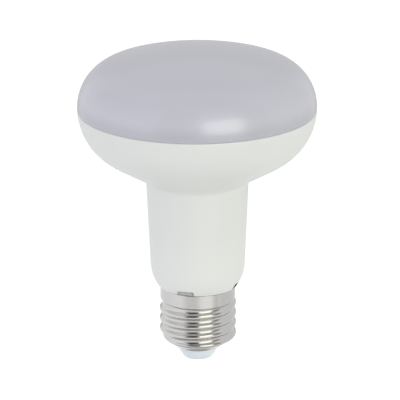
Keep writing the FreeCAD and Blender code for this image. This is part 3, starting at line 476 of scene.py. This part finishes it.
def housing_side(wall):
    """Points from the foot's curve to the seam, on a line that lies wall inside the outer one.
    The cone's corner is where the neck's and the cone's straight lines cross."""
    lean, cone = math.radians(NECK_LEAN), math.radians(CONE_ANGLE)
    end = (FLARE_AXIS + FLARE_RADIUS * math.cos(cone), FLARE_MIDDLE - FLARE_RADIUS * math.sin(cone))
    height = (end[0] - end[1] * math.tan(cone) - NECK_RADIUS + CURVE_TOP * math.tan(lean)) / (
        math.tan(lean) - math.tan(cone))
    radius = NECK_RADIUS + (height - CURVE_TOP) * math.tan(lean)
    setback = NECK_FILLET * math.tan((cone - lean) / 2)
    centre = (radius - setback * math.sin(lean) + NECK_FILLET * math.cos(lean),
              height - setback * math.cos(lean) - NECK_FILLET * math.sin(lean))
    foot_angle = max((FOOT_HEIGHT - CURVE_TOP) / (FOOT_CURVE - wall), -1)
    if wall:
        foot_angle = -math.sqrt(1 - ((FOOT_BORE - FOOT_AXIS) / (FOOT_CURVE - wall)) ** 2)
    seam_angle = -math.degrees(math.asin((FLARE_MIDDLE - SEAM) / (FLARE_RADIUS - wall)))
    return np.vstack([
        arc((FOOT_AXIS, CURVE_TOP), FOOT_CURVE - wall, math.degrees(math.asin(foot_angle)), 0, step=1.5),
        arc(centre, NECK_FILLET + wall, 180 - NECK_LEAN, 180 - CONE_ANGLE, step=6),
        arc((FLARE_AXIS, FLARE_MIDDLE), FLARE_RADIUS - wall, -CONE_ANGLE, seam_angle),
    ])


def housing_line():
    """Outside up, over the rim at the seam, inside down to the bore and round the foot's edge."""
    outside, inside = housing_side(0), housing_side(WALL)[::-1]
    return line([
        (*outside[0], FOOT_ROUNDING), outside[1:-1], (*outside[-1], RIM_ROUNDING),
        (*inside[0], RIM_ROUNDING), inside[1:], (FOOT_BORE, FOOT_HEIGHT, BORE_ROUNDING),
    ])


housing_points = housing_line()
print("points on the housing's line:", len(housing_points))

# %% [markdown]
# ## Windows in the foot
# Four windows open the foot. Lugs of the cap's carrier catch in two of them, and the other two are a
# little taller. A Boolean cut would leave hard edges and broken shading. So the line's lower end, with
# its rounded edges, is lifted along the foot's curve within each window, by a sloped step at both ends.
# The white is painted a little lighter towards the foot, as painted light from below.

# %% Windows and the housing's skin
WINDOW_TURNS, WINDOW_WIDTH, WINDOW_HEIGHTS = (72, 162, 252, 342), 25.0, (1.7, 2.0, 1.7, 2.0)
WINDOW_SLOPE, LIFT_TOP = 0.4, 4.0
STEP_POINTS, STEP_REACH = 9, 0.6
# Painted light: a factor above 1 on the white near the foot, and the heights where it is full and ends.
PAINTED_FOOT_LIGHT, PAINTED_FOOT_LIGHT_HEIGHTS = (1.035, 1.035, 1.03), (FOOT_HEIGHT + 5, FOOT_HEIGHT + 25)


def window_lift(angles):
    """Height of the windows' opening in each direction: full within a window, and down to 0 along the
    slope at each end. The share of it is 1/2 + (half width - way off the middle) / slope, kept within
    0 to 1, with both ways measured along the foot."""
    off = np.abs((np.degrees(angles)[:, None] - np.array(WINDOW_TURNS) + 180) % 360 - 180)
    share = (WINDOW_WIDTH / 2 - off) * np.radians(FOOT_RADIUS) / WINDOW_SLOPE + 0.5
    return (WINDOW_HEIGHTS * np.clip(share, 0, 1)).max(axis=1)


def housing_directions():
    """Even directions, and some more across the slope at each end of a window."""
    ends = np.radians(np.add.outer(WINDOW_TURNS, (-WINDOW_WIDTH / 2, WINDOW_WIDTH / 2)).ravel())
    close = np.linspace(-STEP_REACH, STEP_REACH, STEP_POINTS) * WINDOW_SLOPE / FOOT_RADIUS
    return np.unique(np.concatenate([EVEN, np.add.outer(ends, close).ravel() % (2 * np.pi)]))


def foot_at(height):
    """Radius of the foot's curve: axis + sqrt(curve^2 - (top - height)^2)."""
    return FOOT_AXIS + np.sqrt(FOOT_CURVE ** 2 - np.minimum(height - CURVE_TOP, 0) ** 2)


def with_windows(grid, angles):
    """The grid lifted by the windows' opening, times (1 - height over the foot / LIFT_TOP)^2, and moved
    out by what the foot's curve grows over that lift."""
    height = grid[..., 2]
    fall = np.clip(1 - (height - FOOT_HEIGHT) / LIFT_TOP, 0, 1) ** 2
    raised = height + window_lift(angles) * fall
    wider = 1 + (foot_at(raised) - foot_at(height)) / np.hypot(grid[..., 0], grid[..., 1])
    return np.concatenate([grid[..., :2] * wider[..., None], raised[..., None]], axis=-1)


white = moulded("white plastic", (0.765, 0.78, 0.732), roughness=0.42, bump=0.12, grains=3500.0,
                drift=0.025, cells=25.0, swing=0.08)
# Painted light: the white's colour is made lighter towards the foot.
painted_light_and_shade(white, PAINTED_FOOT_LIGHT, *PAINTED_FOOT_LIGHT_HEIGHTS)
directions = housing_directions()
housing_grid = with_windows(carried_round(housing_points, directions), directions)
skin("white_housing", [housing_grid], white, "housing")

# %% [markdown]
# ## Painted shade in the open windows
# The two taller windows have no lug. There a near-black fill stands in the opening, nearly flush with the
# foot's curve. It is painted shade, a dark piece put where the opening lies in shade, and it shows as a
# dark slit. A block behind the wall wouldn't show, because the curve hides it at such a low angle. So
# each fill is one rounded section, its face against the curve, carried along a short arc. It shrinks to
# a point at both ends along an ellipse.

# %% Painted slit shade
# Painted shade: the size and place of the dark fill in the two open windows.
SLIT_SHADE_WINDOWS, SLIT_SHADE_WIDTH, SLIT_SHADE_ENDING, SLIT_SHADE_ROWS = WINDOW_TURNS[1::2], 24.6, 1.2, 41
SLIT_SHADE_INSIDE, SLIT_SHADE_FOOT, SLIT_SHADE_TOP, SLIT_SHADE_BELOW = 12.15, 27.0, 28.95, 0.02
SLIT_SHADE_ROUNDING, LOW_EDGE, HIGH_EDGE = 0.2, 0.15, 0.1


def carried_along(section, middle, width, ending, rows):
    """Grid with the section at direction a_i in its row i, shrunk about its centre by sqrt(1 - e^2),
    where e is how far a_i lies into the ending, as a share of it. Rows stand closer near both ends."""
    angles = width / 2 * np.sin(np.linspace(-np.pi / 2, np.pi / 2, rows))
    into = np.clip((np.abs(angles) - width / 2 + ending) / ending, 0, 1)
    size = np.sqrt(np.clip(1 - into ** 2, 0, 1))[:, None]
    size[[0, -1]] = 0
    centre = (section.max(axis=0) + section.min(axis=0)) / 2
    radius, height = (centre[k] + size * (section[:, k] - centre[k]) for k in (0, 1))
    turn = np.radians(middle + angles)[:, None]
    return np.stack([radius * np.cos(turn), radius * np.sin(turn), height], axis=-1)


slit_shade_section = line([
    (SLIT_SHADE_INSIDE, SLIT_SHADE_FOOT, SLIT_SHADE_ROUNDING),
    (foot_at(SLIT_SHADE_FOOT) - SLIT_SHADE_BELOW, SLIT_SHADE_FOOT, LOW_EDGE),
    (foot_at(SLIT_SHADE_TOP) - SLIT_SHADE_BELOW, SLIT_SHADE_TOP, HIGH_EDGE),
    (SLIT_SHADE_INSIDE, SLIT_SHADE_TOP, SLIT_SHADE_ROUNDING),
])
slit_shade_grids = [carried_along(slit_shade_section, middle, SLIT_SHADE_WIDTH, SLIT_SHADE_ENDING, SLIT_SHADE_ROWS)
              for middle in SLIT_SHADE_WINDOWS]
# Painted shade: a near-black finish without gloss that stands for the shade in the openings.
painted_slit_shade = moulded("painted slit shade", (0.02, 0.021, 0.019), roughness=0.8, bump=0.4, grains=1500.0, drift=0.2,
                    cells=600.0, fixed={"Specular IOR Level": 0.0})
skin("painted_window_shade", slit_shade_grids, painted_slit_shade)

# %% [markdown]
# ## The screw shell
# The cap's shell is one cup of thin sheet, drawn into a lip, a cone, the thread's root and a smooth
# skirt. A Solidify modifier could give the sheet its thickness too. Here both sides come from one list
# of corners, the inner ones moved in by the sheet, so that the closed section is known before it is
# turned.

# %% The shell's line
SHEET = 0.3
LIP_HOLE, LIP_EDGE, LIP_HEIGHT = 7.1, 8.2, 4.8
ROOT_RADIUS, CONE_TOP = 12.15, 8.1
STEP_FOOT, STEP_TOP, SKIRT_RADIUS, SKIRT_TOP = 21.3, 22.1, 12.85, 26.65
LIP_ROUNDING, ROOT_ROUNDING, STEP_ROUNDING, SHEET_ROUNDING = 0.8, 1.5, 0.35, 0.1


def shell_side(sheet):
    """Corners of lip, cone, thread's root and skirt, on a line that lies sheet inside the outer one."""
    slope = math.atan2(CONE_TOP - LIP_HEIGHT, ROOT_RADIUS - LIP_EDGE)
    return [
        (LIP_EDGE - sheet * math.tan(slope / 2), LIP_HEIGHT + sheet, LIP_ROUNDING - sheet),
        (ROOT_RADIUS - sheet, CONE_TOP + sheet * math.tan((math.pi / 2 - slope) / 2),
         ROOT_ROUNDING - sheet),
        (ROOT_RADIUS - sheet, STEP_FOOT + sheet / 2, STEP_ROUNDING),
        (SKIRT_RADIUS - sheet, STEP_TOP + sheet / 2, STEP_ROUNDING),
    ]


shell_line = line([
    (LIP_HOLE, LIP_HEIGHT, SHEET_ROUNDING), *shell_side(0), (SKIRT_RADIUS, SKIRT_TOP, SHEET_ROUNDING),
    (SKIRT_RADIUS - SHEET, SKIRT_TOP, SHEET_ROUNDING), *shell_side(SHEET)[::-1],
    (LIP_HOLE, LIP_HEIGHT + SHEET, SHEET_ROUNDING),
], step=0.17, guard=0.06)
print("points on the shell's line:", len(shell_line))

# %% [markdown]
# ## The thread
# The round thread is rolled into the sheet, so it stands out as a ridge on the outside and is a groove
# on the inside. A section swept along a helix would leave a crease at its foot. Here the points of the
# turned shell are moved out instead, by a ridge that climbs one pitch a turn. Its section is two arcs of
# one radius that touch halfway down its side, and it fades in and out, as rollers leave it.

# %% Thread and the shell's skin
PITCH_OF_THREAD, THREAD_START, CREST = 3.629, 9.05, 0.95
THREAD_FOOT, THREAD_TOP = CONE_TOP - PITCH_OF_THREAD / 2, STEP_FOOT + 0.4
FADE_IN, FADE_OUT = (-190.0, -60.0), (1140.0, 1230.0)


def smooth_between(low, high, value):
    """0 below low, 1 above high, and t * t * (3 - 2 t) between."""
    t = np.clip((value - low) / (high - low), 0, 1)
    return t * t * (3 - 2 * t)


def ridge(angles, heights):
    """How far the thread stands out: two touching arcs across its width, times the fade at its ends.
    A point's place along the thread is its direction plus the whole turns that bring it nearest. The
    radius of an arc that bows by c / 2 over the half width p / 4 is ((p / 4)^2 + (c / 2)^2) / c."""
    angle = np.degrees(angles)
    turns = np.round((heights - THREAD_START - PITCH_OF_THREAD * angle / 360) / PITCH_OF_THREAD)
    along = angle + 360 * turns
    off = np.abs(heights - THREAD_START - PITCH_OF_THREAD * along / 360)
    bow = ((PITCH_OF_THREAD / 4) ** 2 + (CREST / 2) ** 2) / CREST
    top = CREST - bow + np.sqrt(bow ** 2 - np.minimum(off, PITCH_OF_THREAD / 4) ** 2)
    away = np.minimum(PITCH_OF_THREAD / 2 - off, PITCH_OF_THREAD / 4)
    root = bow - np.sqrt(bow ** 2 - away ** 2)
    section = np.where(off < PITCH_OF_THREAD / 4, top, root)
    return section * smooth_between(*FADE_IN, along) * (1 - smooth_between(*FADE_OUT, along))


def threaded(grid):
    """The grid with the ridge added at the thread's heights, on its outside and inside alike."""
    height = grid[..., 2]
    within = (height > THREAD_FOOT) & (height < THREAD_TOP)
    stands = np.where(within, ridge(EVEN[None, :], height), 0)
    wider = 1 + stands / np.hypot(grid[..., 0], grid[..., 1])
    return np.concatenate([grid[..., :2] * wider[..., None], grid[..., 2:]], axis=-1)


nickel = worked("nickel plated shell", (0.585, 0.58, 0.565), roughness=0.2, bump=0.05, lines=2500.0,
                drift=0.03, cells=60.0, swing=0.08)
cap = skin("rolled_shell", [threaded(carried_round(shell_line))], nickel, "screw_shell")

# %% [markdown]
# ## The insulator
# A pale disc closes the cap's lower end and keeps its contact apart from the shell. Only its curved side
# shows below the lip. That side is one arc through two given points, which is easier to fit to the
# photo than a centre would be.

# %% Insulator
CONTACT_THICKNESS, RIVET_RADIUS = 0.5, 1.2
TIP_RADIUS, SIDE_CURVE, SIDE_RADIUS = 4.9, 9.0, 7.0
FLANGE_HEIGHT, FLANGE_FOOT, FLANGE_RADIUS = 5.2, 8.05, 11.65
INSULATOR_TOP, WELL_RADIUS, WELL_FLOOR = 8.7, 4.6, 3.9
TIP_ROUNDING, FLANGE_ROUNDING, WELL_ROUNDING = 0.5, 0.2, 0.3


def bowed(start, end, radius):
    """The arc of a given radius between two points, its centre on the left of the way from start to end."""
    start, end = np.array(start), np.array(end)
    chord = end - start
    half = np.linalg.norm(chord) / 2
    left = np.array([-chord[1], chord[0]]) / (2 * half)
    centre = (start + end) / 2 + left * math.sqrt(radius ** 2 - half ** 2)
    first, last = (math.degrees(math.atan2(*(point - centre)[::-1])) for point in (start, end))
    return arc(centre, radius, first, last)


side = bowed((TIP_RADIUS, CONTACT_THICKNESS), (SIDE_RADIUS, LIP_HEIGHT), SIDE_CURVE)
insulator_line = line([
    (RIVET_RADIUS, CONTACT_THICKNESS, 0), (*side[0], TIP_ROUNDING), side[1:-1], (*side[-1], 0),
    (SIDE_RADIUS, FLANGE_HEIGHT, 0), (FLANGE_FOOT, FLANGE_HEIGHT, FLANGE_ROUNDING),
    (FLANGE_RADIUS, CONE_TOP, FLANGE_ROUNDING), (FLANGE_RADIUS, INSULATOR_TOP, FLANGE_ROUNDING),
    (WELL_RADIUS, INSULATOR_TOP, WELL_ROUNDING), (WELL_RADIUS, WELL_FLOOR, WELL_ROUNDING),
    (RIVET_RADIUS, WELL_FLOOR, 0),
], step=0.6)
pale = moulded("insulator plastic", (0.762, 0.83, 0.854), roughness=0.3, bump=0.05, drift=0.03, swing=0.05)
skin("cap_insulator", [carried_round(insulator_line)], pale, "insulator")

# %% [markdown]
# ## The centre contact
# The contact is a plated disc with a bevel, and its rivet runs up through the insulator. The rivet's
# punched end leaves a shallow hollow in the middle of the face. The line starts and ends on the axis, so
# both of its ends become poles.

# %% Centre contact
CONTACT_RADIUS, RIVET_TOP = 3.1, 5.2
RIVET_HOLLOW = [(0.0, 0.22, 0), (0.5, 0.2, 0.3), (1.1, 0.0, 0.3)]
BEVEL, BEVEL_ROUNDING, RIVET_ROUNDING = 0.4, 0.15, 0.2

contact_line = line([
    *RIVET_HOLLOW, (CONTACT_RADIUS - BEVEL, 0.0, BEVEL_ROUNDING), (CONTACT_RADIUS, BEVEL, BEVEL_ROUNDING),
    (CONTACT_RADIUS, CONTACT_THICKNESS, 0), (RIVET_RADIUS, CONTACT_THICKNESS, 0),
    (RIVET_RADIUS, RIVET_TOP, RIVET_ROUNDING), (0.0, RIVET_TOP, 0),
], loop=False, step=0.4)
contact_line[[0, -1], 0] = 0.0
plated = worked("plated contact", (0.7, 0.69, 0.66), roughness=0.28, bump=0.1, lines=2000.0, drift=0.05,
                cells=400.0)
skin("plated_contact", [carried_round(contact_line)], plated, "centre_contact")

# %% [markdown]
# ## Finishes of the pieces inside
# The CAD nodes inside keep their shapes and get finishes of the same two recipes, with the colours that
# such parts have in every lamp driver. A node's object only has its first material slot exchanged. The
# carrier's colour is darkened from the upper edge of its lugs on: painted shade that draws the shadow line
# above them.

# %% Inner finishes
# Painted shade: the carrier is darkened above its lugs' upper edge, for the shadow in the gap above them.
PAINTED_GAP_SHADE, PAINTED_GAP_SHADE_HEIGHTS = (0.3, 0.3, 0.3), (27.8, 27.65)
INNER = {
    "cap_carrier": painted_light_and_shade(moulded("carrier plastic", (0.55, 0.565, 0.53), roughness=0.5),
                          PAINTED_GAP_SHADE, *PAINTED_GAP_SHADE_HEIGHTS),
    "diffuser_seal": moulded("silicone bead", (0.78, 0.78, 0.78), roughness=0.35, bump=0.3, grains=900.0),
    "heat_spreader": worked("pressed aluminium", (0.8, 0.8, 0.8), roughness=0.35, lines=1500.0),
    "thermal_pad": moulded("thermal pad", (0.55, 0.62, 0.7), roughness=0.7, bump=0.3, grains=2500.0),
    "led_board": moulded("white board lacquer", (0.84, 0.85, 0.83), roughness=0.35, grains=5000.0),
    "led_packages": moulded("yellow resin", (0.85, 0.66, 0.16), roughness=0.4, drift=0.15, cells=900.0),
    "board_screws": worked("zinc plated steel", (0.62, 0.63, 0.64), roughness=0.3, drift=0.1, cells=500.0),
    "driver_board": moulded("green board lacquer", (0.05, 0.25, 0.1), roughness=0.35, drift=0.3,
                            cells=300.0, grains=2500.0),
    "film_capacitor": moulded("yellow capacitor case", (0.75, 0.5, 0.06), roughness=0.35),
    "bridge_rectifier": moulded("black epoxy", (0.03, 0.03, 0.032), roughness=0.5, grains=6000.0),
    "input_capacitor": moulded("sleeved can", (0.03, 0.04, 0.09), roughness=0.3, drift=0.1),
    "choke": moulded("shrink sleeve", (0.025, 0.025, 0.03), roughness=0.55, bump=0.3, grains=1200.0),
    "transformer_core": moulded("ferrite", (0.05, 0.05, 0.055), roughness=0.6, bump=0.4, grains=5000.0),
    "transformer_bobbin": moulded("bobbin plastic", (0.05, 0.05, 0.05), roughness=0.45),
    "transformer_winding": worked("enamelled copper", (0.72, 0.33, 0.12), roughness=0.3, bump=0.9,
                                  lines=4000.0, drift=0.15, cells=500.0),
    "varistor": moulded("dipped coat", (0.05, 0.16, 0.42), roughness=0.25, bump=0.4, grains=700.0),
    "chip_resistors": moulded("chip glaze", (0.04, 0.04, 0.045), roughness=0.3),
    "fusible_resistor": moulded("cement coat", (0.3, 0.45, 0.42), roughness=0.6, bump=0.5, grains=2500.0),
    "live_lead": moulded("red lead", (0.5, 0.03, 0.02), roughness=0.35),
    "neutral_lead": moulded("black lead", (0.03, 0.03, 0.03), roughness=0.35),
}
INNER["controller_chip"] = INNER["bridge_rectifier"]
INNER["output_capacitor"] = INNER["input_capacitor"]
INNER["led_lead_positive"] = INNER["live_lead"]
INNER["led_lead_negative"] = INNER["neutral_lead"]
for name, material in INNER.items():
    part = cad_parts[name]
    if not part.material_slots:
        part.data.materials.append(material)
    for place in part.material_slots:
        place.material = material
print("inner finishes:", len(INNER))

# %% [markdown]
# ## The white world
# The photo is a cut-out look: white all round and no shadow near the lamp. One white world would light
# the lamp too flat and too bright. So camera, mirror and glass rays see a white one of strength 1, and
# the light that falls on the lamp comes from a dimmer one.

# %% World
WHITE = (1.0, 1.0, 1.0, 1.0)
SEEN_STRENGTH, LIT_STRENGTH, LIT_COLOUR = 1.0, 0.7, (0.98, 0.985, 1.0, 1.0)


def ray_mix(tree, seen, lit):
    """Shader seen by camera, mirror and glass rays, and another one that light falls from or on."""
    rays = node(tree, "ShaderNodeLightPath")
    first = node(tree, "ShaderNodeMath", [(0, rays.outputs["Is Camera Ray"]),
                                          (1, rays.outputs["Is Glossy Ray"])], operation="MAXIMUM")
    either = node(tree, "ShaderNodeMath", [(0, first.outputs[0]),
                                           (1, rays.outputs["Is Transmission Ray"])], operation="MAXIMUM")
    return node(tree, "ShaderNodeMixShader", [(0, either.outputs[0]), (1, lit.outputs[0]),
                                              (2, seen.outputs[0])])


world = bpy.data.worlds.new("white studio")
scene.world = world
world.use_nodes = True
sky = world.node_tree
sky.nodes.clear()
seen = node(sky, "ShaderNodeBackground", Color=WHITE, Strength=SEEN_STRENGTH)
lit = node(sky, "ShaderNodeBackground", Color=LIT_COLOUR, Strength=LIT_STRENGTH)
node(sky, "ShaderNodeOutputWorld", [("Surface", ray_mix(sky, seen, lit).outputs[0])])
print("world strengths, seen and lit:", SEEN_STRENGTH, LIT_STRENGTH)

# %% [markdown]
# ## The floor
# The floor lies well below the lamp, as under a glass table, so that the shadow falls outside the
# picture. It is pale paper that throws light up under the head, and it glows a little for the rays that
# see it, so that it is as white as the world. From below it is clear, for views from there.

# %% Floor
FLOOR_HEIGHT, FLOOR_SIZE, FLOOR_COLOUR = -0.35, 6.0, (0.97, 0.97, 0.97, 1.0)
FLOOR_GLOW, MORE_FOR_CAMERA = 0.26, 0.12


def bare_material(name):
    """A material with an empty node tree, and that tree."""
    material = bpy.data.materials.new(name)
    material.use_nodes = True
    material.node_tree.nodes.clear()
    return material, material.node_tree


def floor_paper():
    """Matt and pale, with a glow for the rays that see the floor, and clear from below."""
    paper, tree = bare_material("pale floor")
    diffuse = node(tree, "ShaderNodeBsdfDiffuse", Color=FLOOR_COLOUR)
    rays = node(tree, "ShaderNodeLightPath")
    level = node(tree, "ShaderNodeMath", [(0, rays.outputs["Is Camera Ray"])], operation="MULTIPLY_ADD")
    level.inputs[1].default_value, level.inputs[2].default_value = MORE_FOR_CAMERA, FLOOR_GLOW
    glow = node(tree, "ShaderNodeEmission", [("Strength", level.outputs[0])], Color=WHITE)
    lifted = node(tree, "ShaderNodeAddShader", [(0, diffuse.outputs[0]), (1, glow.outputs[0])])
    above = ray_mix(tree, lifted, diffuse)
    side = node(tree, "ShaderNodeNewGeometry")
    clear = node(tree, "ShaderNodeBsdfTransparent")
    both = node(tree, "ShaderNodeMixShader", [(0, side.outputs["Backfacing"]), (1, above.outputs[0]),
                                              (2, clear.outputs[0])])
    node(tree, "ShaderNodeOutputMaterial", [("Surface", both.outputs[0])])
    return paper


corners = np.array([(-1, -1, 0), (1, -1, 0), (1, 1, 0), (-1, 1, 0)]) * FLOOR_SIZE / 2
floor_mesh = bpy.data.meshes.new("floor")
floor_mesh.from_pydata(corners + (0, 0, FLOOR_HEIGHT), [], [(0, 1, 2, 3)])
floor_mesh.materials.append(floor_paper())
floor = put("floor", floor_mesh)
print("floor height m:", FLOOR_HEIGHT)

# %% [markdown]
# ## Lamps
# Two wide lamps light the sides, one cool and one warmer, and a window lamp makes the bright patch on
# the cover. Area lamps are soft, as the photo's light is. A lamp can be kept to some of the pieces,
# which gives the cap a warm window of its own. Directions are in degrees, with azimuth 0 towards the
# camera and growing to the right in the photo, sizes are the angles that a lamp covers, and distances
# are in metres.

# %% Lamps
HEAD, CAP = (0.0, 0.0, 0.085), (0.0, 0.0, 0.015)


def seen_from(target, azimuth, elevation, distance):
    """Points at a distance from the target. Azimuth 0 is towards the camera's side (-Y) and grows towards
    +X, elevation is above the horizon."""
    a, e = np.radians(azimuth), np.radians(elevation)
    way = np.stack([np.sin(a) * np.cos(e), -np.cos(a) * np.cos(e), np.sin(e)], axis=-1)
    return np.array(target) + distance * way


def aimed(place, target):
    """Matrix that puts a lamp at a place, with its own -Z towards the target. Its columns are right,
    up = back x right and back, of unit length."""
    back = (place - np.array(target)) / np.linalg.norm(place - np.array(target))
    right = np.cross((0, 0, 1), back)
    right /= np.linalg.norm(right)
    turned = np.column_stack([right, np.cross(back, right), back])
    return Matrix.Translation(place) @ Matrix(turned.tolist()).to_4x4()


def spans(width, height, distance):
    """Size of a rectangle that covers two angles at a distance."""
    return tuple(2 * distance * math.tan(math.radians(angle / 2)) for angle in (width, height))


def softbox(name, target, azimuth, elevation, distance, size, radiance, colour):
    """A rectangular area lamp. Its power is radiance * pi * its area."""
    data = bpy.data.lights.new(name, "AREA")
    data.shape = "RECTANGLE"
    data.size, data.size_y = spans(*size, distance)
    data.energy = radiance * math.pi * data.size * data.size_y
    data.color = colour
    lamp = put(name, data)
    lamp.matrix_world = aimed(seen_from(target, azimuth, elevation, distance), target)
    return lamp


def only_for(lamp, pieces, keep=True):
    """Lets a lamp light the given pieces alone, or all but those."""
    group = bpy.data.collections.new(lamp.name + " receivers")
    for piece in pieces:
        group.objects.link(piece)
    for entry in group.collection_objects:
        entry.light_linking.link_state = "INCLUDE" if keep else "EXCLUDE"
    lamp.light_linking.receiver_collection = group


wide_left = softbox("wide left", HEAD, -60, 12, 1.6, (60, 56), 0.62, (0.78, 0.77, 1.0))
wide_right = softbox("wide right", HEAD, 42, 7, 1.6, (60, 50), 0.84, (1.0, 0.995, 0.95))
wide_left.visible_glossy = wide_right.visible_glossy = False
window = softbox("window", HEAD, 25, 12.5, 1.0, (38, 32), 3.45, (0.98, 1.0, 0.88))
warm = softbox("warm window", CAP, 22.5, 13.5, 1.0, (41, 47), 1.0, (1.0, 0.9, 0.62))
window.visible_diffuse = warm.visible_diffuse = False
only_for(window, [cap], keep=False)
only_for(warm, [cap])
print("lamps:", [lamp.name for lamp in (wide_left, wide_right, window, warm)])

# %% [markdown]
# ## Screens for the mirror
# The cap is a mirror, and what it shows are the things around it. Glowing screens stand where its light
# and dark bands reflect them. Flat cards would show their straight edges, so each screen is part of a
# ball round the cap and fades out at its ends. The screens are seen in mirrors alone and light nothing.
# A row of the list gives the range of azimuths, the range of elevations, the distance, the glow and
# the lengths of the soft ends in both directions.

# %% Screens
SCREEN_STEP = 2.0
SCREENS = [
    ("dark wall", (-38, 1.5), (-16, 50), 1.1, (0.06, 0.045, 0.03), (6, 6)),
    ("dark wall's foot", (-40, 1.5), (-35, -9), 0.55, (0.9, 0.89, 0.89), (24, 6)),
    ("left card", (-125, -44), (-10, 16), 1.3, (1.12, 1.12, 1.14), (16, 8)),
    ("left wall", (-125, -44), (20, 50), 1.3, (0.78, 0.78, 0.79), (16, 8)),
    ("dim wall", (43, 70), (-12, 45), 1.1, (0.3, 0.3, 0.25), (4, 6)),
    ("right wall", (70, 150), (-40, 50), 0.5, (0.86, 0.86, 0.87), (6, 6)),
    ("right wall's foot", (48, 67), (-40, -8), 0.45, (0.82, 0.82, 0.82), (14, 6)),
    ("ceiling", (-70, 70), (48, 84), 1.4, (0.45, 0.45, 0.45), (12, 4)),
    ("horizon behind", (150, 210), (-45, 0), 1.4, (0.6, 0.6, 0.61), (8, 8)),
    ("back wall", (150, 210), (-4, 32), 1.5, (0.7, 0.7, 0.7), (8, 14)),
    ("under the lamp", (-180, 180), (-96, -52), 0.34, (0.45, 0.45, 0.45), (0, 4)),
]


def soft_ended(low, high, soft):
    """Angles over a range widened by half a soft end on each side, and a share for each: it climbs from
    0 to 1 along the first soft end and falls back along the other. With no soft end it is 1 all along."""
    angles = np.linspace(low - soft / 2, high + soft / 2, int((high - low + soft) / SCREEN_STEP) + 2)
    if not soft:
        return angles, np.ones(len(angles))
    return angles, (smooth_between(low - soft / 2, low + soft / 2, angles)
                    * (1 - smooth_between(high - soft / 2, high + soft / 2, angles)))


def screen(name, target, azimuths, elevations, distance, glow, soft):
    """A curved screen that only mirrors see. Point i, j lies at elevation i and azimuth j of the two
    ranges. Its share of glow is the product of both ranges' shares."""
    (across, across_share), (up, up_share) = (
        soft_ended(*ends, part) for ends, part in zip((azimuths, elevations), soft))
    points = seen_from(target, *np.meshgrid(across, up), distance)
    number = np.arange(len(up) * len(across)).reshape(len(up), len(across))
    faces = np.stack([number[:-1, :-1], number[:-1, 1:], number[1:, 1:], number[1:, :-1]], axis=-1)
    mesh = bpy.data.meshes.new(name)
    mesh.from_pydata(points.reshape(-1, 3), [], faces.reshape(-1, 4).tolist())
    mesh.attributes.new("share", "FLOAT", "POINT").data.foreach_set(
        "value", np.outer(up_share, across_share).ravel().astype(np.float32))
    paint, tree = bare_material(name)
    share = node(tree, "ShaderNodeAttribute", attribute_name="share")
    clear = node(tree, "ShaderNodeBsdfTransparent")
    even = node(tree, "ShaderNodeEmission", Color=(*glow, 1.0), Strength=1.0)
    faded = node(tree, "ShaderNodeMixShader", [(0, share.outputs["Fac"]), (1, clear.outputs[0]),
                                               (2, even.outputs[0])])
    node(tree, "ShaderNodeOutputMaterial", [("Surface", faded.outputs[0])])
    mesh.materials.append(paint)
    made = put(name, mesh)
    made.visible_diffuse = made.visible_shadow = made.visible_camera = False


for name, *values in SCREENS:
    screen(name, CAP, *values)
print("screens:", len(SCREENS))

# %% [markdown]
# ## Colour and hand-over
# The Standard view shows colours as they are written.

# %% Finish
scene.view_settings.view_transform = "Standard"
